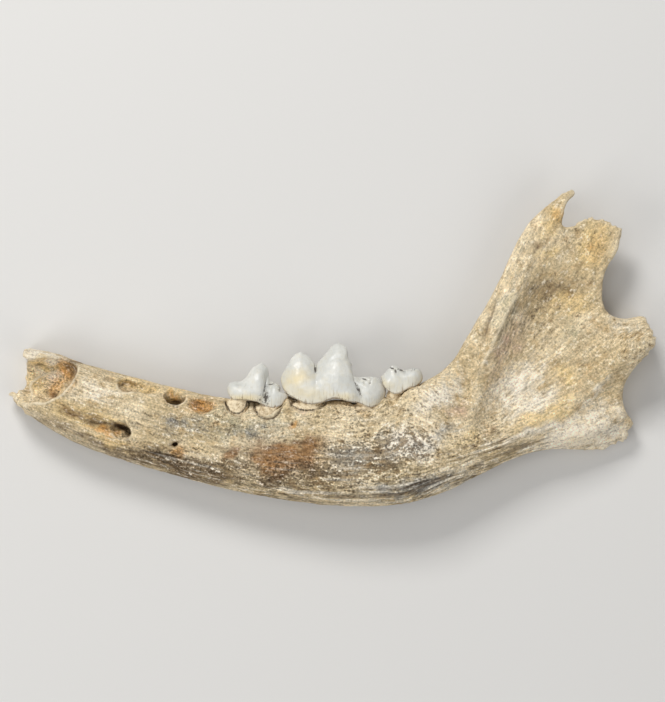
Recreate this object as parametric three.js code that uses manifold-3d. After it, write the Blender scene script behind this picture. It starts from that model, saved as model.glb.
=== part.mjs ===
// Left lower jaw of a fossil wolf: the toothless front, three cheek teeth and a weathered, broken rear end.
// The jaw lies on its inner side. Millimetres: +X runs back along the jaw to its hinge, +Y runs towards the
// tooth row and the tall coronoid process, and +Z points out of the cheek side, which faces up. The inner
// side touches the floor at z = 0 on small flats: at the chin joint, and under the hinge and the jaw's angle.
import * as THREE from "three";
import { mergeVertices } from "three/addons/utils/BufferGeometryUtils.js";
import Module from "manifold-3d";

const wasm = await Module();
wasm.setup();

// ---------------------------------------------------------------------------------------------------------
// Driving dimensions
// ---------------------------------------------------------------------------------------------------------
// Sections are laid by where they stand on the lower border: [from, to, spacing]. The breaks cut the loft
// back at both ends to the real outline.
const SECTION_RUNS = [
  [-91, -60, 3.1],
  [-60, 4, 5.3],
  [4, 18, 2.8],
  [18, 37, 1.2],
  [37, 92, 2.9],
];
const CELLS_ACROSS = 16; // cells from the lower border to the upper one, on each face
const EDGE_CLUSTER = 0.55; // how far the cells crowd towards the two borders, from 0 to 1
const RIDGE_CELL = 5 / CELLS_ACROSS; // the line of cells that follows the ridge below the ramus's hollow

const GAP = 0.3; // clearance between a tooth and its socket, and between neighbouring teeth
const TALLEST = 60; // reach of the cutters above and below the jaw

// The borders seen from the cheek side: y at each x.
const lowerBorder = profile([
  [-91, -12.4], [-86.4, -17.7], [-79.7, -22.5], [-69.6, -27.8], [-56.1, -32.4], [-39.3, -37.2],
  [-19.2, -41.7], [1, -44.2], [14, -44.4], [27.9, -41.7], [41.3, -35.5], [51.4, -30.8], [61.5, -28.4],
  [71, -28.9], [80, -28.6],
]);
const upperBorder = profile([
  [-91, -0.1], [-82, -0.6], [-76.3, -2], [-69.6, -4.5], [-62.9, -6.4], [-42.7, -11.5], [-32.6, -13.7],
  [-22, -14.8], [-12, -14.3], [1, -14.3], [10, -15.4], [19, -12.7], [25.3, -9.6], [31.2, -6.2],
  [34.6, -2.4], [37.9, 3.3], [41.3, 9], [44.7, 14.4], [48, 21.6], [51.4, 29.4], [54.7, 34.8],
  [61.5, 41.1], [67.5, 44.7], [81, 44.7], [86, 26], [100, 13],
]);

// Where a section that stands at x on the lower border meets the upper one. They stand square to the body
// and lean back over the ramus, so that its front edge and its crest run along them.
const sectionTop = profile([
  [-91, -91], [4, 4], [18, 24], [24, 38], [29, 50], [33, 59.5], [36, 67.5], [48, 76], [92, 100],
]);
const CREST_BOW = { depth: 3.2, starts: [26, 34], ends: [44, 80] }; // sections near the crest bow forward

// The two faces of the horizontal body: z at each x, on the cheek side and on the tongue side.
const bodyOuter = profile([
  [-91, 10.5], [-82, 13.2], [-65, 14.4], [-45, 14.8], [-20, 16.4], [5, 18], [28, 18.2], [42, 16],
  [52, 14], [62, 12.2], [74, 9.6], [82, 8.4],
]);
const bodyInner = profile([
  [-91, -1.5], [-68, -1.3], [-50, 1.2], [-30, 3.2], [0, 5], [28, 5.8], [45, 5.6], [60, 4], [74, 0.8],
  [80, -1],
]);

// The ramus: the crest up its front edge, the muscle hollow's floor behind it, and the plate's thickness.
const crestX = profile([
  [-28, 35.5], [-16, 39.1], [-4, 43.3], [8.4, 47.5], [20.4, 52.8], [31.4, 58.6], [38.6, 63.5],
]);
const coronoidFace = profile([[-20, 17], [-6, 15.2], [8, 14], [24, 13], [45, 12.4]]);
const hollowFloor = profile([
  [-30, 13.6], [-20, 12.8], [-8, 10.8], [4, 9.3], [10, 8.8], [16, 9.6], [22, 11.3], [30, 12], [45, 12],
]);
const plateThickness = profile([[-30, 6], [-14, 4.2], [6, 2.4], [24, 2.7], [45, 2.2]]);
const ventralRidgeY = profile([
  [34, -31], [47, -27], [57, -22.5], [65, -17.6], [72, -12.2], [79, -6], [88, 2],
]);
const CREST = { height: 1, width: 2, behind: 0.4, grooveDepth: 1.2, grooveBack: 4.4, grooveWidth: 1.8 };
const fossaWall = profile([[-30, 8], [-5, 9.5], [24, 10], [40, 12]]); // width of the hollow's front slope
const VENTRAL_RIDGE = { height: 1.7, width: 3.6, above: 1, fade: 11, starts: 38, full: 58 };
const CONDYLE = { y: 2.4, halfHeight: 5, starts: 58, full: 86, inward: 11, outward: 3.2 };
const ANGLE = { y: -22.5, halfHeight: 5, starts: 62, full: 82, inward: 7, outward: 1.6 };
const FLOOR_EASE = 1; // how softly the inner face flattens onto the floor

// Where one form of a face gives way to the next: [from, to] along x, or along y where it says so.
const BLEND = {
  thinning: [26, 40], // the body's cheek face grows no thicker than the coronoid's
  ramusFront: [30, 38], // the ramus begins, on its cheek side
  ramusFoot: [-30, -18], // y: the crest begins
  coronoidFoot: [-16, 4], // y: the cheek face becomes the coronoid's
  grooveTop: [2, 18], // y: the groove before the crest dies out
  plateFront: [28, 46], // the ramus thins to its plate, on its tongue side
  plateFoot: [-2, 12], // y above the ventral ridge: likewise
  ridgeCells: [24, 44], // the cells across a section come to follow the ventral ridge
};

// Rounding of the borders, and where between the two faces (0 inner, 1 outer) each border's ridge line runs.
const lowerRound = profile([
  [-91, 4], [-70, 8], [-40, 9.5], [10, 11], [30, 10], [45, 7], [60, 4.5], [80, 2.5],
]);
const upperRound = profile([
  [-91, 3], [-76, 5], [-60, 7.5], [-18, 7], [-8, 5], [8, 5], [15, 3.4], [24, 3.6], [32, 4.2], [42, 3],
  [50, 2.2], [67, 1.6],
]);
const upperRidge = profile([
  [-91, 0.22], [-60, 0.24], [-38, 0.3], [-26, 0.42], [20, 0.46], [40, 0.36], [60, 0.5],
]);
const LOWER_RIDGE = 0.46;

// The canine's empty socket, open to the front and through its broken cheek wall, with the deeper cup that
// held the root's tip. Angles in degrees.
const CANINE_SOCKET = { at: [-83.2, -9.1, 11.8], radii: [12.5, 6, 9], roll: 16, across: 18 };
const CANINE_CUP = { at: [-78.4, -9.9, 10.6], radii: [7.2, 4.5, 7.4], roll: 30, across: 14 };

// Small openings that nerves and vessels leave by, and the empty sockets of the front cheek teeth.
const OPENINGS = {
  mentalForamen: { at: [-59, -23.1, 13.2], radii: [3.2, 2.3, 3.4], roll: -30 },
  mentalCanal: { at: [-56.6, -23.6, 10.4], radii: [4.2, 1.4, 1.6], yaw: 36, roll: -12, across: 10 },
  mentalGroove: { at: [-64.6, -22.1, 15.3], radii: [5.8, 2.2, 1.7], roll: -6 },
  rearForamen: { at: [-44.1, -26.9, 14], radii: [1, 0.7, 2.2], across: 8 },
  jawCanal: { at: [45, -18.5, 6], radii: [5.5, 2.1, 1.9], yaw: 24, roll: 10 },
  firstSocket: { at: [-62.4, -8.6, 11.8], radii: [2, 1.4, 2.4], roll: -16, across: 8 },
  brokenSocketFront: { at: [-57.5, -10.2, 11.6], radii: [2.9, 2.8, 4], roll: -14, across: 10 },
  brokenSocketRear: { at: [-53.2, -11, 12.4], radii: [5.8, 2.1, 3.4], roll: -10, across: 10 },
  deepSocket: { at: [-44.2, -15.1, 10.6], radii: [3.4, 5.9, 3.1], pitch: 42 },
  filledSocket: { at: [-36.6, -15.8, 13.4], radii: [3.7, 2.7, 2.8], roll: -10 },
};

// The broken ends, seen from the cheek side. The lists run along the breaks, and what lies beyond is cut off.
const FRONT_BREAK = [
  [-86.6, 4], [-86.6, -0.5], [-86.9, -2.3], [-85.4, -3], [-85.7, -6.2], [-85.3, -8], [-86, -10],
  [-86, -12.9], [-87, -12], [-88.4, -13.7], [-89.6, -12.6], [-90.3, -12.9], [-90, -14.2], [-89, -15.4],
  [-92, -18], [-96, -18], [-96, 4],
];
const SPIKE_BREAK = [
  [67.4, 50], [67.5, 44.4], [68, 43.6], [67.4, 42.6], [66, 41.6], [65, 39.3], [64.4, 37], [63.9, 34.7],
  [64.6, 33.7], [68, 33.9], [70.1, 36.1], [72.3, 36.4], [73.2, 35.8], [75.5, 35.9], [77, 34.9],
  [78.6, 34.6], [80.6, 33.6], [81, 32.4],
];
const REAR_NOTCH = [[80.2, 30], [79.6, 27.2], [76.6, 22.6], [75.5, 16.6], [75.9, 12.2], [77.8, 9], [82.4, 8]];
const HINGE_BREAK = [[86.2, 8.7], [88, 7.9], [88.8, 5.2], [89.8, 2.6], [90.6, 1.2], [90, 0.4], [88.1, -1.1]];
const LOWER_NOTCH = [[84.4, -5.6], [82, -9.6], [81.4, -13.4], [82, -17.4], [84.8, -21.2]];
const ANGLE_BREAK = [[83.6, -22.6], [82.2, -24.6], [80.6, -26.1], [78.9, -27.2], [77, -28.4], [76, -34]];
const BEYOND_REAR = [[104, -34], [104, 50]]; // the rear cutter's corners, clear of the bone

// Teeth. Crest and neck are the crown's upper and lower outlines from the cheek side, in the tooth's own
// frame: x along the tooth row from its middle, y up from its neck. ridgeHalf is half the gap between the
// cheek-side and tongue-side cusps, and basin the hollow between them.
const TEETH = {
  premolar_p4: {
    at: [-21.1, -14.9, 12.4],
    width: 7.6,
    crest: [
      [-8.4, 3.2], [-8, 4.7], [-7, 5.4], [-4.3, 5.8], [-1.5, 8.6], [0.2, 10.2], [1.1, 10.7],
      [2.1, 10.1], [3.1, 8.2], [3.2, 6.6], [3.7, 5.3], [4.5, 5.6], [5.8, 4.9], [6.6, 3.4], [6.9, 2.7],
      [7.7, 2.3], [8.1, 1.4],
    ],
    neck: [
      [-8.4, 3.2], [-7.5, 1.3], [-6.2, 0.4], [-3, 0.3], [0, -0.1], [2.4, -1.4], [5, -1.9], [7, -1.2],
      [8.1, 1.4],
    ],
    valleys: [[-4.6, 0.3], [3.1, 1.1]],
    ridgeHalf: [[-8, 0.4], [8, 0.4]],
    basin: [[-8, 0], [8, 0]],
    tongueDrop: [[-8, 0], [8, 0]],
    roots: [
      { x: -5.5, z: 0, along: 3.1, across: 2.5, length: 11, top: -0.4 },
      { x: 2.8, z: 0, along: 3.9, across: 2.9, length: 12, top: -2 },
    ],
  },
  carnassial_m1: {
    at: [0, -15, 12.2],
    width: 11.2,
    crest: [
      [-14.5, 6.2], [-13.9, 8], [-12, 11], [-10.1, 13.2], [-8.8, 13.9], [-7.7, 13.1], [-6.4, 11.7],
      [-5.1, 11], [-4.6, 10.3], [-3.8, 11.4], [-2.1, 13.3], [-0.2, 15.4], [1.7, 16.5], [3, 15.8],
      [4, 14.2], [4.6, 11], [5.3, 8.8], [6.1, 7.2], [9, 7.1], [11.3, 7.3], [12.8, 6.6], [14, 5.2],
      [14.6, 3.1],
    ],
    neck: [
      [-14.5, 6.2], [-13.9, 3.8], [-12.4, 2.1], [-10, 0.7], [-7.6, -0.5], [-5.5, -0.8], [-3, -0.3],
      [-1, 0.7], [0.6, 1.1], [2.6, 0.7], [5, 0], [7.4, -0.3], [10.2, -1.6], [12.4, -1.2], [14, 0.5],
      [14.6, 3.1],
    ],
    valleys: [[-4.6, 0.7], [7.4, 1]],
    ridgeHalf: [[3.6, 0.4], [6.4, 2.9], [14, 2.6]],
    basin: [[4, 0], [6.6, 1.3], [12.6, 1.3], [14, 0.4]],
    tongueDrop: [[4, 0], [7, 0.9], [14, 0.9]],
    roots: [
      { x: -6.8, z: 0.1, along: 5.2, across: 4, length: 16, top: -1 },
      { x: 9, z: 0, along: 4.3, across: 3.9, length: 15, top: -1.6 },
    ],
  },
  molar_m2: {
    at: [19.4, -12, 12],
    width: 8.8,
    crest: [
      [-6, 3.9], [-5, 4.9], [-4, 6], [-3.3, 7.1], [-2.2, 7.3], [-1.2, 7.1], [-0.4, 6.3], [0.6, 5.9],
      [1.8, 6.1], [3.4, 6.6], [4.6, 6.3], [5.5, 5.3], [6, 4.1],
    ],
    neck: [
      [-6, 3.9], [-4.6, 1.8], [-3.6, -0.2], [-2.2, -0.9], [-0.6, -0.8], [0.8, 0], [2, 0.8], [3.6, 1],
      [5.2, 2.2], [6, 4.1],
    ],
    valleys: [[0.6, 0.9]],
    ridgeHalf: [[-6, 1.4], [-3, 1.9], [5, 1.8]],
    basin: [[-5, 0.2], [-2.2, 0.8], [0.5, 1.3], [3.4, 0.9], [5.6, 0.1]],
    tongueDrop: [[-6, 0.2], [5, 0.4]],
    roots: [
      { x: -2.2, z: 0.1, along: 2.2, across: 3.2, length: 9, top: -1 },
      { x: 3.4, z: 0.1, along: 2.2, across: 3, length: 8, top: 0.4 },
    ],
  },
};
const LARGEST_TOOTH = "carnassial_m1"; // its neighbours keep the gap from it
const METACONID = { at: [4.3, 0, -2.6], radius: 2.1, height: 10.6, top: 0.7 }; // the carnassial's inner cusp

const MATERIALS = {
  bone: new THREE.MeshStandardMaterial({ color: 0xcdbb98, roughness: 0.75, metalness: 0 }),
  enamel: new THREE.MeshStandardMaterial({ color: 0xe9e6dc, roughness: 0.3, metalness: 0 }),
};

// ---------------------------------------------------------------------------------------------------------
// Curves and solids
// ---------------------------------------------------------------------------------------------------------

// A smooth function through [x, value] points that never overshoots them, and is level beyond its ends.
function profile(points) {
  const rise = points.slice(1).map(([x, value], i) => (value - points[i][1]) / (x - points[i][0]));
  const tangent = points.map((_, i) => {
    if (i === 0 || i === points.length - 1) return rise[Math.min(i, rise.length - 1)];
    const [before, after] = [rise[i - 1], rise[i]];
    return before * after <= 0 ? 0 : (2 * before * after) / (before + after);
  });
  return (x) => {
    if (x <= points[0][0]) return points[0][1];
    const next = points.findIndex(([end]) => end > x);
    if (next < 0) return points[points.length - 1][1];
    const [x0, y0] = points[next - 1];
    const [x1, y1] = points[next];
    const span = x1 - x0;
    const t = (x - x0) / span;
    const ease = t * t * (3 - 2 * t);
    return (
      y0 + (y1 - y0) * ease + span * t * (1 - t) * ((1 - t) * tangent[next - 1] - t * tangent[next])
    );
  };
}

const bump = (distance, width) => Math.exp(-((distance / width) ** 2));
const mix = THREE.MathUtils.lerp;
const ramp = (x, from, to) => THREE.MathUtils.smoothstep(x, from, to);

// x positions from one end towards the other, about step apart, without the last one.
function stations(from, to, step) {
  const count = Math.round((to - from) / step);
  return Array.from({ length: count }, (_, i) => from + ((to - from) * i) / count);
}

// A manifold-3d solid from a closed three.js geometry.
function solidOf(geometry) {
  const bare = geometry.clone();
  bare.deleteAttribute("normal");
  bare.deleteAttribute("uv");
  const merged = mergeVertices(bare, 1e-4);
  return new wasm.Manifold(
    new wasm.Mesh({
      numProp: 3,
      vertProperties: new Float32Array(merged.attributes.position.array),
      triVerts: new Uint32Array(merged.index.array),
    }),
  );
}

// A three.js geometry from a manifold-3d solid.
function geometryOf(solid) {
  const mesh = solid.getMesh();
  const geometry = new THREE.BufferGeometry();
  geometry.setAttribute("position", new THREE.BufferAttribute(mesh.vertProperties, 3));
  geometry.setIndex(new THREE.BufferAttribute(mesh.triVerts, 1));
  geometry.computeVertexNormals();
  return geometry;
}

// A closed solid through rings of [x, y, z] points that turn from +Y to +Z as seen from +X, laid towards +X.
function loft(rings) {
  const count = rings[0].length;
  const points = rings.flat();
  const index = [];
  const apart = (a, b) => Math.hypot(...points[a].map((value, axis) => value - points[b][axis]));
  for (let i = 0; i + 1 < rings.length; i++) {
    for (let j = 0; j < count; j++) {
      const [a, b] = [i * count + j, i * count + ((j + 1) % count)];
      const [c, d] = [b + count, a + count];
      // Each four-sided cell is split along its shorter diagonal.
      index.push(...(apart(a, c) < apart(b, d) ? [a, b, c, a, c, d] : [a, b, d, b, c, d]));
    }
  }
  for (const [ring, first, turned] of [
    [rings[0], 0, true],
    [rings.at(-1), (rings.length - 1) * count, false],
  ]) {
    const centre = points.length;
    points.push([0, 1, 2].map((axis) => ring.reduce((sum, p) => sum + p[axis], 0) / count));
    for (let j = 0; j < count; j++) {
      const edge = [first + j, first + ((j + 1) % count)];
      index.push(...(turned ? edge.reverse() : edge), centre);
    }
  }
  const geometry = new THREE.BufferGeometry();
  geometry.setAttribute("position", new THREE.Float32BufferAttribute(points.flat(), 3));
  geometry.setIndex(index);
  return solidOf(geometry);
}

// An ellipsoid turned by roll about Z, then yaw about Y and pitch about X, in degrees.
function ellipsoid({ at, radii, roll = 0, yaw = 0, pitch = 0, across = 12 }) {
  const geometry = new THREE.SphereGeometry(1, across, Math.round(across * 0.6));
  geometry.scale(...radii);
  geometry.rotateX(THREE.MathUtils.degToRad(pitch));
  geometry.rotateY(THREE.MathUtils.degToRad(yaw));
  geometry.rotateZ(THREE.MathUtils.degToRad(roll));
  geometry.translate(...at);
  return solidOf(geometry);
}

// A prism through the whole thickness of the jaw, from an outline in x and y.
function prism(outline) {
  const shape = new THREE.Shape(outline.map(([x, y]) => new THREE.Vector2(x, y)));
  const geometry = new THREE.ExtrudeGeometry(shape, { depth: 2 * TALLEST, bevelEnabled: false });
  geometry.translate(0, 0, -TALLEST);
  return solidOf(geometry);
}

// Points along a smooth curve through the given ones.
function smooth(points, count) {
  const curve = new THREE.SplineCurve(points.map(([x, y]) => new THREE.Vector2(x, y)));
  return curve.getPoints(count).map((p) => [p.x, p.y]);
}

// ---------------------------------------------------------------------------------------------------------
// The jaw bone
// ---------------------------------------------------------------------------------------------------------

// How much a point lies in the muscle hollow of the ramus, from 0 to 1.
function hollowShare(x, y) {
  const behindCrest = ramp(x - crestX(y), 0, fossaWall(y));
  const aboveRidge = ramp(y - ventralRidgeY(x), 0, VENTRAL_RIDGE.fade);
  return behindCrest * aboveRidge;
}

// z of the cheek-side face, before its borders are rounded.
function outerFace(x, y) {
  const body = mix(bodyOuter(x), Math.min(bodyOuter(x), coronoidFace(y)), ramp(x, ...BLEND.thinning));
  const onRamus = ramp(x, ...BLEND.ramusFront);
  const upright = mix(body, coronoidFace(y), ramp(y, ...BLEND.coronoidFoot) * onRamus);
  let z = mix(upright, hollowFloor(y), hollowShare(x, y));
  const behindCrest = x - crestX(y);
  const crest = CREST.height * bump(behindCrest - CREST.behind, CREST.width);
  const groove = CREST.grooveDepth * bump(behindCrest + CREST.grooveBack, CREST.grooveWidth);
  z += (crest - groove * (1 - ramp(y, ...BLEND.grooveTop))) * ramp(y, ...BLEND.ramusFoot) * onRamus;
  const ridge = bump(y - ventralRidgeY(x) - VENTRAL_RIDGE.above, VENTRAL_RIDGE.width);
  z += VENTRAL_RIDGE.height * ridge * ramp(x, VENTRAL_RIDGE.starts, VENTRAL_RIDGE.full);
  z += CONDYLE.outward * bump(y - CONDYLE.y, CONDYLE.halfHeight) * ramp(x, CONDYLE.starts, CONDYLE.full);
  z += ANGLE.outward * bump(y - ANGLE.y, ANGLE.halfHeight) * ramp(x, ANGLE.starts, ANGLE.full);
  return z;
}

// z of the tongue-side face, never below the floor that the jaw lies on.
function innerFace(x, y) {
  const plate = hollowFloor(y) - plateThickness(y);
  const onPlate = ramp(x, ...BLEND.plateFront) * ramp(y - ventralRidgeY(x), ...BLEND.plateFoot);
  let z = mix(bodyInner(x), plate, onPlate);
  z -= CONDYLE.inward * bump(y - CONDYLE.y, CONDYLE.halfHeight) * ramp(x, CONDYLE.starts, CONDYLE.full);
  z -= ANGLE.inward * bump(y - ANGLE.y, ANGLE.halfHeight) * ramp(x, ANGLE.starts, ANGLE.full);
  return z > FLOOR_EASE ? z : Math.max(z + FLOOR_EASE, 0) ** 2 / (4 * FLOOR_EASE);
}

// The share of the full thickness at a distance from a border rounded with the given radius.
function roundedEdge(distance, radius) {
  const t = 1 - Math.min(1, Math.max(0, distance) / radius);
  return Math.sqrt(1 - t * t);
}

// Turns a height above or below a sloping border into the distance square to it.
const squareness = (border, x) => 1 / Math.hypot(1, border(x + 0.5) - border(x - 0.5));

// Spreads values from 0 to 1 so that they crowd towards both ends.
const crowded = (t) => mix(t, (1 - Math.cos(Math.PI * t)) / 2, EDGE_CLUSTER);

// One section of the jaw, that stands at the given x on the lower border: up one face and down the other.
function jawSection(foot) {
  const top = sectionTop(foot);
  const [low, high] = [lowerBorder(foot), upperBorder(top)];
  const bow = CREST_BOW.depth * ramp(foot, ...CREST_BOW.starts) * (1 - ramp(foot, ...CREST_BOW.ends));
  const ridge = (ventralRidgeY(mix(foot, top, RIDGE_CELL)) - low) / (high - low);
  const share = mix(crowded(RIDGE_CELL), ridge, ramp(foot, ...BLEND.ridgeCells));
  const warp = Math.log(share) / Math.log(crowded(RIDGE_CELL));
  const across = Array.from({ length: CELLS_ACROSS + 1 }, (_, j) => {
    const v = crowded(j / CELLS_ACROSS) ** warp;
    const x = mix(foot, top, v) - bow * Math.sin(Math.PI * v);
    const y = mix(low, high, v);
    const thickness =
      roundedEdge((y - lowerBorder(x)) * squareness(lowerBorder, x), lowerRound(x)) *
      roundedEdge((upperBorder(x) - y) * squareness(upperBorder, x), upperRound(x));
    const [inner, outer] = [innerFace(x, y), outerFace(x, y)];
    const middle = mix(inner, outer, mix(LOWER_RIDGE, upperRidge(x), v));
    return { x, y, outer: mix(middle, outer, thickness), inner: mix(middle, inner, thickness) };
  });
  return [
    ...across.map(({ x, y, outer }) => [x, y, outer]),
    ...across.slice(1, -1).reverse().map(({ x, y, inner }) => [x, y, inner]),
  ].reverse();
}

// The whole bone, with its breaks, openings and sockets cut out of the loft.
function jawBone(teethWithGap) {
  const feet = [...SECTION_RUNS.flatMap((run) => stations(...run)), SECTION_RUNS.at(-1)[1]];
  const frontBreak = prism(FRONT_BREAK);
  const rearBreak = prism([
    ...SPIKE_BREAK,
    ...smooth(REAR_NOTCH, 14),
    ...HINGE_BREAK,
    ...smooth(LOWER_NOTCH, 10),
    ...ANGLE_BREAK,
    ...BEYOND_REAR,
  ]);
  const openings = [CANINE_SOCKET, CANINE_CUP, ...Object.values(OPENINGS)].map(ellipsoid);
  return [frontBreak, rearBreak, ...openings, ...teethWithGap].reduce(
    (bone, cut) => bone.subtract(cut),
    loft(feet.map(jawSection)),
  );
}

// ---------------------------------------------------------------------------------------------------------
// Teeth
// ---------------------------------------------------------------------------------------------------------
const CROWN = {
  wallHeights: [0, 0.11, 0.3, 0.56, 0.81], // the points up each wall of a section, as shares of its height
  basinSteps: 3, // cells across the chewing surface
  endFullness: 2.6, // how square the crown is across, seen from above: 2 is an ellipse
  neckWidth: 0.86, // width at the neck, as a share of the widest
  wallBulge: 1.7, // how long the walls stay wide before they close in on the cusps
  bluntness: [0.42, 0.85], // how round a low crown's walls are, and a tall one's
  heights: [7, 17], // what counts as low and as tall
  ridgeShare: 0.6, // the cusps' furthest reach, as a share of the crown's half width
  valleyWidth: 1.3, // half width of the valleys between the lobes
  valleyFoot: 0.4, // their depth at the neck, as a share of that half way up
  endInset: 0.12, // how far in from the crown's ends its first and last sections stand
  sections: { fewest: 9, perLength: 0.5, crowding: 0.5 },
};
const ROOT = {
  rings: 4,
  around: 14,
  squareness: 2.6, // 2 for roots that are round across, and more towards square
  taper: [1.9, 0.62], // powers that shape its side, from a full neck to a closed tip
  shoulder: [[0.8, 0.8], [0, 1.8]], // [radius, height] above its neck, inside the crown
};

// One section of a crown: up the cheek wall, over the chewing surface and down the tongue wall.
function crownSection(tooth, x, grow) {
  const [start, end] = [tooth.crest[0][0], tooth.crest.at(-1)[0]];
  const along = (2 * (x - start)) / (end - start) - 1;
  const half = (tooth.width / 2) * Math.sqrt(1 - Math.abs(along) ** CROWN.endFullness) + grow;
  const base = profile(tooth.neck)(x) - grow;
  const top = profile(tooth.crest)(x) + grow;
  const tongueTop = Math.max(top - profile(tooth.tongueDrop)(x), (base + top) / 2);
  const ridge = Math.min(profile(tooth.ridgeHalf)(x), half * CROWN.ridgeShare);
  const sharpness = mix(...CROWN.bluntness, ramp(top - base, ...CROWN.heights));
  const valley = tooth.valleys.reduce((sum, [at, depth]) => sum + depth * bump(x - at, CROWN.valleyWidth), 0);
  const wall = (height, side) =>
    CROWN.wallHeights.map((t) => {
      const reach = (1 - t ** CROWN.wallBulge) ** sharpness * mix(CROWN.neckWidth, 1, ramp(t, -0.1, 0.3));
      const cheek = side > 0 ? valley * (CROWN.valleyFoot + t) : 0;
      return [x, mix(base, height, t), side * (mix(ridge, half, reach) - cheek)];
    });
  const surface = Array.from({ length: CROWN.basinSteps + 1 }, (_, k) => {
    const t = k / CROWN.basinSteps;
    const dip = 4 * t * (1 - t) * profile(tooth.basin)(x);
    return [x, mix(top, tongueTop, t) - dip, mix(ridge, -ridge, t)];
  });
  return [...wall(top, 1), ...surface, ...wall(tongueTop, -1).reverse()].reverse();
}

// A peg that tapers down from a crown's neck into the bone, between round and square across.
function toothRoot({ x, z, along, across, length, top }, grow) {
  const side = Array.from({ length: ROOT.rings }, (_, k) => {
    const depth = k / ROOT.rings;
    return new THREE.Vector2((1 - depth ** ROOT.taper[0]) ** ROOT.taper[1], top - depth * (length + grow));
  });
  const tip = new THREE.Vector2(0, top - length - grow);
  const shoulder = ROOT.shoulder.map(([radius, height]) => new THREE.Vector2(radius, top + height));
  const geometry = new THREE.LatheGeometry([tip, ...side.reverse(), ...shoulder], ROOT.around);
  const corners = geometry.attributes.position;
  for (let i = 0; i < corners.count; i++) {
    const [right, out] = [Math.abs(corners.getX(i)), Math.abs(corners.getZ(i))];
    const outline = (right ** ROOT.squareness + out ** ROOT.squareness) ** (1 / ROOT.squareness);
    const square = outline && Math.hypot(right, out) / outline;
    corners.setX(i, corners.getX(i) * square);
    corners.setZ(i, corners.getZ(i) * square);
  }
  geometry.scale(along + grow, 1, across + grow);
  geometry.translate(x, 0, z);
  return solidOf(geometry);
}

// The x of each cusp tip and notch of a crest, where its height turns.
function turningPoints(crest) {
  const inner = crest.slice(1, -1);
  return inner.filter(([, y], i) => (y - crest[i][1]) * (crest[i + 2][1] - y) < 0).map(([x]) => x);
}

// Where a crown's sections stand: closer together towards its ends, and one on each turning point.
function crownPlaces(crest) {
  const [start, end] = [crest[0][0], crest.at(-1)[0]];
  const { fewest, perLength, crowding } = CROWN.sections;
  const count = Math.round((end - start) * perLength) + fewest;
  const places = Array.from({ length: count + 1 }, (_, i) => {
    const even = (2 * i) / count - 1;
    const across = mix(even, Math.sin((Math.PI / 2) * even), crowding);
    return (start + end) / 2 + ((end - start) / 2 - CROWN.endInset) * across;
  });
  for (const turn of turningPoints(crest)) {
    const away = places.map((x) => Math.abs(x - turn));
    places[away.indexOf(Math.min(...away))] = turn;
  }
  return places;
}

// One tooth in its place in the jaw, larger all round by grow where it serves as its own socket.
function toothSolid(name, grow = 0) {
  const tooth = TEETH[name];
  const crown = loft(crownPlaces(tooth.crest).map((x) => crownSection(tooth, x, grow)));
  const pieces = tooth.roots.map((root) => toothRoot(root, grow));
  if (name === LARGEST_TOOTH) {
    const cusp = new THREE.CylinderGeometry(METACONID.top, METACONID.radius + grow, METACONID.height, 12);
    cusp.translate(METACONID.at[0], METACONID.height / 2, METACONID.at[2]);
    pieces.push(solidOf(cusp));
  }
  return pieces.reduce((whole, piece) => whole.add(piece), crown).translate(tooth.at);
}

// ---------------------------------------------------------------------------------------------------------
// The model
// ---------------------------------------------------------------------------------------------------------
const jaw = new THREE.Group();

// Adds one solid to the model, as a mesh with its own name and material.
function addMesh(name, solid, material) {
  const mesh = new THREE.Mesh(geometryOf(solid), material);
  mesh.name = name;
  jaw.add(mesh);
}

const toothNames = Object.keys(TEETH);
addMesh("jaw_bone", jawBone(toothNames.map((name) => toothSolid(name, GAP))), MATERIALS.bone);
addMesh(LARGEST_TOOTH, toothSolid(LARGEST_TOOTH), MATERIALS.enamel);
for (const name of toothNames.filter((other) => other !== LARGEST_TOOTH)) {
  addMesh(name, toothSolid(name).subtract(toothSolid(LARGEST_TOOTH, GAP)), MATERIALS.enamel);
}

export default jaw;
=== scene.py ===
"""The looks of a fossil wolf jaw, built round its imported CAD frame.

The jaw lies on its inner side with its cheek side up. Sizes and places are in millimetres, in the frame's
axes: +X runs back along the jaw, +Y towards the teeth and +Z up. Meshes are in metres, as the frame's are.
"""

import logging
import math
from dataclasses import dataclass, field
from enum import Enum
from typing import Any, Sequence

import bpy
import numpy as np
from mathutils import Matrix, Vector, noise

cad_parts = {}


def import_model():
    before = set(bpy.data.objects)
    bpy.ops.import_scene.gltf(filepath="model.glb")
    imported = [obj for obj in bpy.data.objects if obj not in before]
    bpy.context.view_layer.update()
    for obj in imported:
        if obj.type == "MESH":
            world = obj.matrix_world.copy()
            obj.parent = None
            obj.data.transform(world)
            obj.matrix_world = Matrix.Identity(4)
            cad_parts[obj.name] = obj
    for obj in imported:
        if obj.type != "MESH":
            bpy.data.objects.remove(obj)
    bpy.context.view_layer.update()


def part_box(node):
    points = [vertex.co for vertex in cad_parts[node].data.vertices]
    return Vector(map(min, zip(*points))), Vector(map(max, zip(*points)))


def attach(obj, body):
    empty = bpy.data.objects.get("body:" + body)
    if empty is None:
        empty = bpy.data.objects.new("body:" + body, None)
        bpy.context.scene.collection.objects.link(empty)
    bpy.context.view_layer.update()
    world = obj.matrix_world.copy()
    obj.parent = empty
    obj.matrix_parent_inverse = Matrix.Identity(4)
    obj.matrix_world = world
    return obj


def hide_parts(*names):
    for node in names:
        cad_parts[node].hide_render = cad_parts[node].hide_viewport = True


LOG = logging.getLogger("wolf_jaw")

MM = 0.001  # one millimetre, in metres
BODY = "root"

Colour = tuple[float, float, float]
Place = tuple[float, float, float]
Point = tuple[float, float]
Row = tuple[float, ...]
Array = np.ndarray
Piece = bpy.types.Object
Material = bpy.types.Material
Socket = bpy.types.NodeSocket


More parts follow.
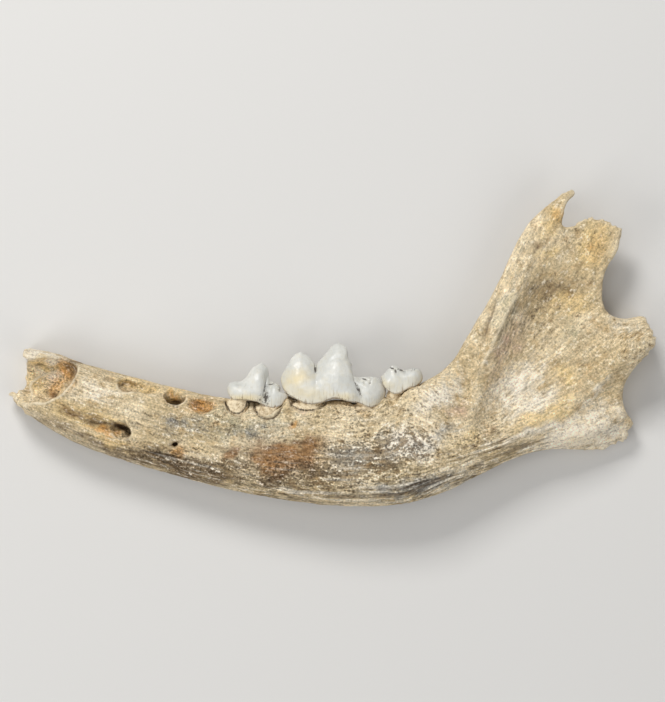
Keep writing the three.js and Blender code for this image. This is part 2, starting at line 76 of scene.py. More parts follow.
class Trait(Enum):
    """What the surface carries in places: each is a point attribute of its mesh, from 0 to 1."""

    IRON = "iron"
    OCHRE = "ochre"
    AMBER = "amber"
    UMBER = "umber"
    SLATE = "slate"
    CHALK = "chalk"
    ROSE = "rose"
    MOSS = "moss"
    STREAKED = "streaked"
    FLAKED = "flaked"
    RUGOSE = "rugose"
    BROKEN = "broken"


# Small helpers


def srgb(red: int, green: int, blue: int) -> Colour:
    """The linear colour of an sRGB one, whose parts run from 0 to 255."""
    shares = [part / 255 for part in (red, green, blue)]
    return tuple(each / 12.92 if each <= 0.04045 else ((each + 0.055) / 1.055) ** 2.4 for each in shares)


def smoothstep(values: Array, start: float, end: float) -> Array:
    """Eases from 0 where values are at start to 1 where they are at end."""
    share = np.clip((values - start) / (end - start), 0, 1)
    return share * share * (3 - 2 * share)


def turned(places: Array, turn: float) -> tuple[Array, Array]:
    """How far places lie along and across a direction, whose turn from +X is in degrees anticlockwise."""
    cosine, sine = math.cos(math.radians(turn)), math.sin(math.radians(turn))
    return places[:, 0] * cosine + places[:, 1] * sine, places[:, 1] * cosine - places[:, 0] * sine


def fractal(points: Array, cell: float | Place, octaves: int = 3, seed: float = 0) -> Array:
    """Noise from about -1 to 1, whose largest lumps are as big as a cell. A seed moves the pattern."""
    places = points / np.asarray(cell) + seed
    return np.array([noise.fractal(Vector(place), 0.9, 2.1, octaves) for place in places])


def furrows(points: Array, cell: Place, width: float, seed: float) -> Array:
    """Branching lines, from 0 between them to 1 along their middles, in noise with cells of that size."""
    return smoothstep(width - np.abs(fractal(points, cell, seed=seed)), 0, width)


def select_only(piece: Piece) -> None:
    """Makes one object the only selected and active one.

    Args:
        piece: The object.
    """
    bpy.ops.object.select_all(action="DESELECT")
    piece.select_set(True)
    bpy.context.view_layer.objects.active = piece


def refined_copy(node: str, name: str, cell: float) -> Piece:
    """Copies a CAD node as one even, closed mesh that can be carved.

    Args:
        node: The CAD node's name.
        name: The new piece's name.
        cell: The size of the new mesh's cells, in millimetres.

    Returns:
        The new object.
    """
    source = bpy.data.objects[node]
    piece = bpy.data.objects.new(name, source.data.copy())
    bpy.context.scene.collection.objects.link(piece)
    piece.data.materials.clear()
    select_only(piece)
    bpy.ops.object.mode_set(mode="EDIT")
    bpy.ops.mesh.select_all(action="SELECT")
    bpy.ops.mesh.remove_doubles(threshold=0.001 * MM)
    bpy.ops.object.mode_set(mode="OBJECT")
    remesh = piece.modifiers.new("Remesh", "REMESH")
    remesh.mode = "VOXEL"
    remesh.voxel_size = cell * MM
    remesh.use_smooth_shade = True
    bpy.ops.object.modifier_apply(modifier=remesh.name)
    return piece


class Surface:
    """The points of a mesh as arrays, in millimetres, with the tools that carve and mark them."""

    def __init__(self, piece: Piece) -> None:
        """Reads a mesh's points and edges.

        Args:
            piece: The mesh object.
        """
        self.mesh = piece.data
        count = len(self.mesh.vertices)
        flat = np.empty(count * 3)
        self.mesh.vertices.foreach_get("co", flat)
        self.points = flat.reshape(-1, 3) / MM
        edges = np.empty(len(self.mesh.edges) * 2, dtype=np.int32)
        self.mesh.edges.foreach_get("vertices", edges)
        self.ends = edges.reshape(-1, 2).T
        self.degree = np.bincount(edges, minlength=count)

    def normals(self) -> Array:
        """The directions that the points face.

        Returns:
            One unit vector for each point.
        """
        flat = np.empty(len(self.points) * 3)
        self.mesh.vertex_normals.foreach_get("vector", flat)
        return flat.reshape(-1, 3)

    def averaged(self, values: Array, rounds: int) -> Array:
        """Spreads values to their neighbours.

        Args:
            values: One row or number for each point.
            rounds: How many times each point takes the mean of itself and its neighbours.

        Returns:
            The softened values.
        """
        first, second = self.ends
        columns = np.atleast_2d(values.T).copy()
        for _ in range(rounds):
            for column in columns:
                gathered = np.bincount(first, column[second], len(column))
                gathered += np.bincount(second, column[first], len(column))
                column[:] = (column + gathered / self.degree) / 2
        return columns.T.reshape(values.shape)

    def relax(self, ease: Array, rounds: int) -> None:
        """Draws each point towards the mean of its neighbours, then makes up for the bulk that this takes.

        Args:
            ease: How freely each point moves in a round, from 0 to 1.
            rounds: How many times they move.
        """
        points = self.points
        for _ in range(rounds):
            points = points + ease[:, None] * (self.averaged(points, 1) - points)
        before = self.points
        self.move(points - before)
        lost = np.einsum("ij,ij->i", before - points, self.normals())
        self.press(-self.averaged(lost, rounds))

    def move(self, shift: Array) -> None:
        """Moves the points, and updates the mesh.

        Args:
            shift: How far each point moves along each axis, in millimetres.
        """
        self.points = self.points + shift
        self.mesh.vertices.foreach_set("co", (self.points * MM).ravel())
        self.mesh.update()

    def press(self, depth: Array) -> None:
        """Moves each point inwards along its normal by a depth in millimetres."""
        self.move(-self.normals() * depth[:, None])

    def hollowness(self, rounds: int) -> Array:
        """How far each point lies below its softened surroundings, in millimetres."""
        return np.einsum("ij,ij->i", self.averaged(self.points, rounds) - self.points, self.normals())

    def shove(self, rows: Sequence[Row], places: Array) -> None:
        """Moves regions of the surface as a whole.

        Args:
            rows: For each, the x, y, length and width of its Spot, and its shift along X and Y.
            places: The points, in the coordinates of these.
        """
        for *oval, shift_x, shift_y in rows:
            self.move(Spot(*oval).share(places)[:, None] * np.array((shift_x, shift_y, 0)))

    def store(self, name: str, values: Array) -> None:
        """Keeps values as an attribute that materials read.

        Args:
            name: The attribute's name.
            values: One number or vector for each point.
        """
        kind, key = ("FLOAT", "value") if values.ndim == 1 else ("FLOAT_VECTOR", "vector")
        attribute = self.mesh.attributes.new(name, kind, "POINT")
        attribute.data.foreach_set(key, values.astype(np.float32).ravel())


@dataclass(frozen=True)
class Spot:
    """A soft oval region of a surface, with its middle at x, y and z.

    Attributes:
        length: Its half length, where its strength has fallen to about a third.
        width: Its half width.
        turn: How far its length is turned from +X, anticlockwise as seen from above, in degrees.
        thickness: Its half thickness. At 0 it goes right through, whatever its z.
        wall: How sharply it ends: 1 fades out softly, and 3 has a steep wall.
    """

    x: float
    y: float
    length: float
    width: float
    turn: float = 0.0
    z: float = field(default=0.0, kw_only=True)
    thickness: float = field(default=0.0, kw_only=True)
    wall: float = field(default=1.0, kw_only=True)

    def share(self, points: Array) -> Array:
        """How much each point belongs to the region.

        Args:
            points: The places, one row each.

        Returns:
            One number for each, from 0 to 1.
        """
        away = points - np.array((self.x, self.y, self.z))
        along, across = turned(away, self.turn)
        far = (along / self.length) ** 2 + (across / self.width) ** 2
        if self.thickness:
            far += (away[:, 2] / self.thickness) ** 2
        return np.exp(-(far**self.wall))


@dataclass(frozen=True)
class Dent(Spot):
    """A region pressed into a surface, or raised where its depth is less than 0.

    Attributes:
        depth: How deep, in millimetres.
        dirt_and_shade: How dark it is painted, from 0 to 1, for grime settled in it and for painted shade;
            below 0, down to -1, it is painted pale, for wear and for painted light.
    """

    depth: float = 0.3
    dirt_and_shade: float = 0.0


def dented(*rows: Row, **shared: float) -> tuple[Dent, ...]:
    """Dents that share settings, each from its x, y, length, width, turn, depth and dirt_and_shade."""
    return tuple(Dent(*row, **shared) for row in rows)


@dataclass(frozen=True)
class Crack:
    """A line worn or split into the cheek side, from the first of its points to the last.

    Attributes:
        path: Its points in x and y.
        width: Its half width, in millimetres.
        depth: How deep, in millimetres, or how high it stands where this is less than 0.
        dirt_and_shade: How dark it is painted, from 0 to 1, for grime settled in it and for painted shade;
            below 0, down to -1, it is painted pale, for wear and for painted light.
        taper: The length over which each of its ends fades out.
    """

    path: Sequence[Point]
    width: float
    depth: float
    dirt_and_shade: float
    taper: float = 4.0

    def share(self, points: Array) -> Array:
        """How much each point belongs to the line.

        Args:
            points: The places, one row each.

        Returns:
            One number for each, from 0 to 1.
        """
        nearest = np.full(len(points), np.inf)
        reached = np.zeros(len(points))
        length = 0.0
        for start, end in zip(self.path, self.path[1:]):
            origin, span = np.array(start), np.subtract(end, start)
            away = points[:, :2] - origin
            along = np.clip(away @ span / (span @ span), 0, 1)
            distance = np.linalg.norm(away - along[:, None] * span, axis=1)
            step = np.linalg.norm(span)
            reached = np.where(distance < nearest, length + along * step, reached)
            nearest = np.minimum(nearest, distance)
            length += step
        ends = smoothstep(np.minimum(reached, length - reached), 0, self.taper)
        return np.exp(-((nearest / self.width) ** 2)) * ends


def arc(middle: Point, reach: Point, first: float, last: float) -> list[Point]:
    """Points along part of an oval, from one angle to another, in degrees anticlockwise from +X."""
    angles = np.radians(np.linspace(first, last, 13))
    return [(middle[0] + reach[0] * math.cos(each), middle[1] + reach[1] * math.sin(each)) for each in angles]


# Shader building


class Value:
    """A number in a shader. Python's operators on it add Math nodes."""

    def __init__(self, shader: "Shader", socket: Socket) -> None:
        """Wraps an output socket of one of the shader's nodes."""
        self.shader = shader
        self.socket = socket

    def __add__(self, other: "Value | float") -> "Value":
        """This plus other."""
        return self.shader.math("ADD", self, other)

    def __sub__(self, other: "Value | float") -> "Value":
        """This less other."""
        return self.shader.math("SUBTRACT", self, other)

    def __rsub__(self, other: float) -> "Value":
        """Other less this."""
        return self.shader.math("SUBTRACT", other, self)

    def __mul__(self, other: "Value | float") -> "Value":
        """This times other."""
        return self.shader.math("MULTIPLY", self, other)

    __radd__ = __add__

    def clamped(self) -> "Value":
        """This number, held between 0 and 1."""
        return self.between(0, 1)

    def between(self, start: float, end: float) -> "Value":
        """Eases between two numbers.

        Args:
            start: Where this number gives 0.
            end: Where it gives 1.

        Returns:
            The eased number.
        """
        settings = {"interpolation_type": "SMOOTHSTEP"} if (start, end) != (0, 1) else {}
        inputs = {"Value": self, "From Min": start, "From Max": end}
        return Value(self.shader, self.shader.node("ShaderNodeMapRange", settings, inputs).outputs["Result"])


class Shader:
    """Builds the node tree of one material."""

    def __init__(self, name: str) -> None:
        """Starts an empty material.

        Args:
            name: Its name.
        """
        self.material = bpy.data.materials.new(name)
        self.material.use_nodes = True
        self.tree = self.material.node_tree
        self.tree.nodes.clear()

    def node(
        self, kind: str, settings: dict[str, Any] | None = None, inputs: dict[str, Any] | None = None
    ) -> bpy.types.Node:
        """Adds one node.

        Args:
            kind: The node's type.
            settings: Its own properties, which are set first.
            inputs: A number, colour, Value or output socket for each input, by its name or identifier.

        Returns:
            The new node.
        """
        made = self.tree.nodes.new(kind)
        for name, value in (settings or {}).items():
            setattr(made, name, value)
        for name, value in (inputs or {}).items():
            enabled = (each for each in made.inputs if each.enabled)
            self.feed(next(each for each in enabled if name in {each.identifier, each.name}), value)
        return made

    def feed(self, socket: Socket, value: Any) -> None:
        """Links or sets one input.

        Args:
            socket: The input.
            value: The Value or output socket to link, or the number, vector or colour to set.
        """
        if isinstance(value, Value):
            value = value.socket
        if isinstance(value, Socket):
            self.tree.links.new(value, socket)
        elif isinstance(value, tuple) and socket.type == "RGBA":
            socket.default_value = (*value, 1.0)
        else:
            socket.default_value = value

    def math(self, operation: str, *values: Value | float) -> Value:
        """Adds a Math node.

        Args:
            operation: What it does.
            *values: The one to three numbers that it works on.

        Returns:
            Its result.
        """
        made = self.node("ShaderNodeMath", {"operation": operation})
        for socket, value in zip(made.inputs, values):
            self.feed(socket, value)
        return Value(self, made.outputs[0])

    def mix(self, under: Any, over: Any, share: Value | float, mode: str = "MIX") -> Socket:
        """Lays one colour over another.

        Args:
            under: The colour below.
            over: The colour above.
            share: How much of the colour above shows, from 0 to 1.
            mode: How the two are combined.

        Returns:
            The mixed colour's socket.
        """
        settings = {"data_type": "RGBA", "blend_type": mode}
        inputs = {"Factor_Float": share, "A_Color": under, "B_Color": over}
        made = self.node("ShaderNodeMix", settings, inputs)
        return next(each for each in made.outputs if each.identifier == "Result_Color")

    def attribute(self, name: str) -> Value:
        """A number that the mesh carries for each point."""
        return Value(self, self.node("ShaderNodeAttribute", {"attribute_name": name}).outputs["Fac"])

    def millimetres(self, scale: Place = (1, 1, 1)) -> Socket:
        """Object coordinates in millimetres, times a factor for each axis."""
        coordinates = self.node("ShaderNodeTexCoord").outputs["Object"]
        return self.scaled(coordinates, [factor / MM for factor in scale])

    def scaled(self, vector: Socket, factors: Sequence[float]) -> Socket:
        """Multiplies a vector.

        Args:
            vector: The vector's socket.
            factors: A factor for each axis.

        Returns:
            The product's socket.
        """
        made = self.node("ShaderNodeVectorMath", {"operation": "MULTIPLY"})
        self.feed(made.inputs[0], vector)
        self.feed(made.inputs[1], factors)
        return made.outputs[0]

    def noise(self, vector: Socket, cell: float, detail: float = 3, rough: float = 0.55) -> Value:
        """Noise about 0.5, with cells in millimetres and finer layers of some number and strength."""
        inputs = {"Vector": vector, "Scale": 1 / cell, "Detail": detail, "Roughness": rough}
        return Value(self, self.node("ShaderNodeTexNoise", {}, inputs).outputs["Fac"])

    def pores(self, vector: Socket, cell: float) -> Value:
        """The distance from the nearest of many scattered points, in cells."""
        inputs = {"Vector": vector, "Scale": 1 / cell}
        return Value(self, self.node("ShaderNodeTexVoronoi", {}, inputs).outputs["Distance"])

    def finish(self, colour: Any, roughness: Any, height: Value, **constants: Any) -> Material:
        """Joins the results to the material's output.

        Args:
            colour: The base colour.
            roughness: The roughness.
            height: The surface's height, in millimetres, for the bump.
            **constants: Other inputs of the Principled BSDF, with underscores for the spaces in their names.

        Returns:
            The material.
        """
        bump = self.node("ShaderNodeBump", {}, {"Height": height, "Distance": MM})
        inputs = {"Base Color": colour, "Roughness": roughness, "Normal": bump.outputs["Normal"]}
        inputs |= {name.replace("_", " "): value for name, value in constants.items()}
        shader = self.node("ShaderNodeBsdfPrincipled", {}, inputs)
        self.node("ShaderNodeOutputMaterial", {}, {"Surface": shader.outputs["BSDF"]})
        return self.material


@dataclass(frozen=True)
class FossilBone:
    """The finish of weathered bone: cream and beige, streaked along its grain, flaked and stained."""

    white: Colour = srgb(254, 245, 226)
    cream: Colour = srgb(242, 223, 186)
    beige: Colour = srgb(213, 191, 149)
    tan: Colour = srgb(168, 134, 84)
    ash: Colour = srgb(108, 89, 64)
    bare: Colour = srgb(170, 163, 152)
    bare_brown: Colour = srgb(168, 148, 124)
    # the pale of wear, also used for painted highlight on convex rims and painted light on slopes
    pale_wear_and_painted_light: Colour = srgb(248, 232, 200)
    # the brown of pores, also used for the painted shade of hollows, dents and cracks
    pore_and_shade_brown: Colour = srgb(72, 52, 32)
    tints: tuple[tuple[Trait, Colour], ...] = (
        (Trait.CHALK, srgb(254, 243, 222)),
        (Trait.ROSE, srgb(206, 170, 146)),
        (Trait.MOSS, srgb(178, 168, 134)),
        (Trait.OCHRE, srgb(236, 206, 146)),
        (Trait.SLATE, srgb(102, 103, 103)),
        (Trait.AMBER, srgb(218, 161, 84)),
        (Trait.IRON, srgb(146, 102, 56)),
        (Trait.UMBER, srgb(104, 76, 40)),
    )

    def material(self) -> Material:
        """Makes the material.

        Returns:
            The material.
        """
        shader = Shader("fossil_bone")
        place = shader.millimetres()
        grain = shader.node("ShaderNodeAttribute", {"attribute_name": "grain"}).outputs["Vector"]
        cloud = shader.noise(place, 14)
        mottle = shader.noise(place, 3.2, 5, 0.65)
        speck = shader.noise(place, 0.62, 4, 0.75)
        fleck = shader.noise(shader.scaled(grain, (0.45, 1, 1)), 1.1, 5, 0.72)
        fibre = shader.noise(shader.scaled(grain, (0.16, 1, 1)), 0.75, 4, 0.7)
        streak = shader.noise(shader.scaled(grain, (0.06, 1, 1)), 1.3, 5, 0.65)
        under = shader.noise(shader.scaled(grain, (0.4, 1, 1)), 5)
        dot = shader.pores(place, 1.4) + (speck - 0.5) * 0.9
        hollow, deep, dirt_and_shade = (shader.attribute(name) for name in ("hollow", "deep", "dirt_and_shade"))
        streaked = shader.attribute(Trait.STREAKED.value)
        flaked = shader.attribute(Trait.FLAKED.value)
        unrusted = 1.0 - shader.attribute(Trait.IRON.value) * 0.7

        # the mottled ground, and the stains with their ragged outlines
        colour = shader.mix(self.beige, self.cream, cloud.between(0.38, 0.68))
        colour = shader.mix(colour, self.tan, (mottle * 0.65 + fleck * 0.35).between(0.53, 0.3) * 0.7)
        for trait, tint in self.tints:
            amount = shader.attribute(trait.value)
            ragged = (mottle * 0.6 + fleck * 0.4 - 0.5) * 3.2 * amount.between(0, 0.4)
            colour = shader.mix(colour, tint, (amount * 1.5 + ragged).between(0.1, 1.1) * 0.85)
        # the bare bone under flakes, the white flecks on them, dark and white fibres, and pores
        lines = streak.between(0.49, 0.39) * streaked
        skin = (fleck * 0.7 + speck * 0.3 - flaked * 0.19).between(0.345, 0.385)
        bare = shader.mix(self.bare, self.bare_brown, under.between(0.44, 0.64))
        colour = shader.mix(shader.mix(colour, bare, 0.72, "MULTIPLY"), colour, skin)
        pale = (fleck * 0.6 + speck * 0.4).between(0.53, 0.62) * (0.55 + flaked * 0.35) * unrusted
        colour = shader.mix(colour, self.white, pale)
        colour = shader.mix(colour, self.ash, lines * 0.8)
        colour = shader.mix(colour, self.white, streak.between(0.53, 0.64) * streaked * unrusted * 0.75)
        pores = dot.between(0.2, 0.05) * (0.15 + flaked * 0.6)
        colour = shader.mix(colour, self.pore_and_shade_brown, pores)
        # the finest grain, then painted shade in hollows, dents and cracks, with grime in these, then pale
        # wear and painted highlight
        grit = (speck - 0.5) * (2.3 + flaked * 1.9) + (fibre - 0.5) * (1.7 + streaked * 1.0) + 1.02
        colour = shader.mix(colour, grit, 1.0, "MULTIPLY")
        shade = hollow.between(0.02, 0.35) * 0.4 + deep.between(0.5, 2.6) * 0.4 + dirt_and_shade * 0.85
        colour = shader.mix(colour, self.pore_and_shade_brown, shade.clamped())
        # pale wear and painted highlight on convex rims, and the marks painted pale for wear and painted
        # light
        pale_wear_and_painted_light = (0.0 - hollow).between(0.06, 0.3) * 0.6 + dirt_and_shade.between(0, -1) * (mottle * 2.2 - 0.2)
        colour = shader.mix(colour, self.pale_wear_and_painted_light, pale_wear_and_painted_light.clamped())
        roughness = 0.72 + (mottle - 0.5) * 0.3
        height = skin * (0.1 + flaked * 0.2) + mottle * 0.4 + speck * 0.6 + fibre * 0.35
        height = height - lines * 0.25 - pores * 0.2
        return shader.finish(colour, roughness, height, Specular_IOR_Level=0.35)


@dataclass(frozen=True)
class Enamel:
    """The finish of a tooth: glossy enamel over a root of bone-like dentine."""

    white: Colour = srgb(202, 202, 195)
    pearl: Colour = srgb(213, 212, 204)
    warm: Colour = srgb(222, 204, 158)
    stria: Colour = srgb(166, 150, 118)
    neck_line: Colour = srgb(104, 72, 40)
    # the dark of grime and of painted shade, in the fissures and in the gap along the bone
    dirt_and_shade: Colour = srgb(50, 38, 28)
    root: Colour = srgb(236, 218, 184)
    root_shade: Colour = srgb(166, 140, 100)

    def material(self) -> Material:
        """Makes the material.

        Returns:
            The material.
        """
        shader = Shader("tooth_enamel")
        place = shader.millimetres()
        upright = shader.millimetres((2.4, 0.22, 2.4))
        cloud = shader.noise(place, 5)
        blotch = shader.noise(place, 1.8, 4, 0.6)
        speck = shader.noise(place, 0.7, 4, 0.72)
        striae = shader.noise(upright, 1.0, 4, 0.65)
        warm = shader.attribute(Trait.OCHRE.value)
        crown, above_neck, dirt_and_shade = (shader.attribute(name) for name in ("crown", "above_neck", "dirt_and_shade"))

        # the crown: its warm zones, its upright striae and the brown line at its neck
        near_neck = above_neck.between(3.2, 0.0)
        colour = shader.mix(self.white, self.pearl, cloud.between(0.45, 0.6))
        warmth = warm * 1.2 + (blotch - 0.5) * 0.9 + near_neck * 0.25
        colour = shader.mix(colour, self.warm, warmth.clamped())
        colour = shader.mix(colour, self.stria, striae.between(0.5, 0.3) * (near_neck * 0.6 + 0.22))
        flecks = (striae * 0.6 + speck * 0.4).between(0.5, 0.36) * above_neck.between(1.6, 0.0)
        edge = (above_neck - (speck - 0.5) * 0.8).between(0.35, 0.0)
        colour = shader.mix(colour, self.neck_line, (flecks * 0.7 + edge * 0.55).clamped())
        # the root, then grime and painted shade in the fissures of both and in the gap along the bone
        root = shader.mix(self.root, self.root_shade, (speck * 0.55 + blotch * 0.45).between(0.55, 0.38))
        colour = shader.mix(root, colour, crown)
        broken = (striae * 0.4 + speck * 0.6 - 0.5) * 4.5 * dirt_and_shade.between(0.02, 0.3)
        grime_and_shade = (dirt_and_shade * 1.2 + broken).between(0.35, 0.85)
        colour = shader.mix(colour, self.dirt_and_shade, grime_and_shade * 0.85)
        roughness = 0.74 - crown * 0.3 + grime_and_shade * 0.3 + (blotch - 0.5) * 0.3
        height = speck * 0.3 * (1 - crown) + striae * 0.03 + blotch * 0.12 + cloud * 0.1
        return shader.finish(colour, roughness, height, Coat_Weight=crown * 0.16, Coat_Roughness=0.16)


@dataclass(frozen=True)
class StudioFloor:
    """The finish of the floor: plain, pale and matt."""

    colour: Colour = srgb(214, 212, 208)

    def material(self) -> Material:
        """Makes the material.

        Returns:
            The material.
        """
        shader = Shader("studio_floor")
        height = shader.noise(shader.millimetres(), 0.8, 2) * 0.01
        return shader.finish(self.colour, 0.9, height, Specular_IOR_Level=0.2)


# The jaw


def placed(piece: Piece, node: str, finish: FossilBone | Enamel) -> None:
    """Dresses a finished piece and puts it in the place of its CAD node.

    Args:
        piece: The finished mesh object.
        node: The CAD node that it stands for.
        finish: What it is made of.
    """
    select_only(piece)
    bpy.ops.object.shade_smooth()
    piece.data.materials.append(finish.material())
    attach(piece, BODY)
    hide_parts(node)
    LOG.info("%s: %d faces", piece.name, len(piece.data.polygons))


# the edges of the bone round the roots of the teeth, cut in and darkened with painted shade in the gap
ROOT_EDGES = tuple(
    Crack(arc(middle, reach, first, last), 0.31, 0.4, 1, 1)
    for middle, reach, first, last in (
        ((-26.8, -14.2), (3.1, 4.1), 170, 365),
        ((-18, -15.2), (3.9, 4.6), 170, 360),
        ((-6.8, -13.7), (5.7, 3.7), 180, 350),
    )
)


@dataclass(frozen=True)
class Wear:
    """How the weather has cut into the bone. Each cell is the size of the lumps that the cutting leaves.

    Attributes:
        swell: How far the whole surface stands out first, to keep its bulk.
        waves: The depth of its broad unevenness, in millimetres, as all the depths here are.
        grit: Its fine unevenness.
        fibres: The furrows between its fibres.
        flakes: The pits where its skin has flaked off.
        folds: The furrows where muscle was attached.
        fold_turn: The direction of these, in degrees anticlockwise from +X.
        jags: The teeth of its broken edges.
        fray: How ragged the outlines of its dents and cracks are.
    """

    swell: float = 0.12
    waves: float = 0.16
    wave_cell: float = 8.0
    grit: float = 0.15
    grit_cell: float = 1.9
    fibres: float = 0.38
    fibre_cell: Place = (30, 2.2, 4)
    flakes: float = 0.35
    flake_cell: float = 1.3
    folds: float = 0.45
    fold_cell: Place = (4.2, 1.7, 4)
    fold_turn: float = -38.0
    jags: float = 1.8
    jag_cell: Place = (1.6, 1.6, 9)
    fray: float = 0.16
    fray_cell: float = 1.4


@dataclass(frozen=True)
class Grain:
    """The run of the bone's fibres, which follow the body and fan out from one place into the ramus.

    Attributes:
        border_bin: The spacing along X at which the body's upper and lower borders are found.
        body_height: The height that the body is given, however far its borders are apart.
        fan_middle: Where the fan starts, in x and y.
        fan_turn: Its direction, in radians anticlockwise from +X.
        fan_distance: How far from there its fibres are as wide as those of the body.
        fan_start: Where along X it starts to take over, and where it has.
    """

    border_bin: float = 4.0
    body_height: float = 26.0
    fan_middle: Point = (20, -38)
    fan_turn: float = 0.2
    fan_distance: float = 45.0
    fan_start: Point = (20, 48)

    def coordinates(self, points: Array) -> Array:
        """Coordinates that run with the fibres.

        Args:
            points: The places, one row each.

        Returns:
            How far each is along the fibres, across them and through the bone, in millimetres.
        """
        bins = np.arange(points[:, 0].min(), points[:, 0].max(), self.border_bin)
        inside = [np.abs(points[:, 0] - x) < self.border_bin for x in bins]
        low = np.interp(points[:, 0], bins, [points[near, 1].min() for near in inside])
        high = np.interp(points[:, 0], bins, [points[near, 1].max() for near in inside])
        body = np.column_stack([points[:, 0], (points[:, 1] - low) / (high - low) * self.body_height])
        away = points[:, :2] - np.array(self.fan_middle)
        angle = np.arctan2(away[:, 1], away[:, 0]) - self.fan_turn
        length = self.fan_middle[0] + np.linalg.norm(away, axis=1)
        fan = np.column_stack([length, angle * self.fan_distance])
        share = smoothstep(points[:, 0], *self.fan_start)[:, None]
        return np.column_stack([body + share * (fan - body), points[:, 2]])


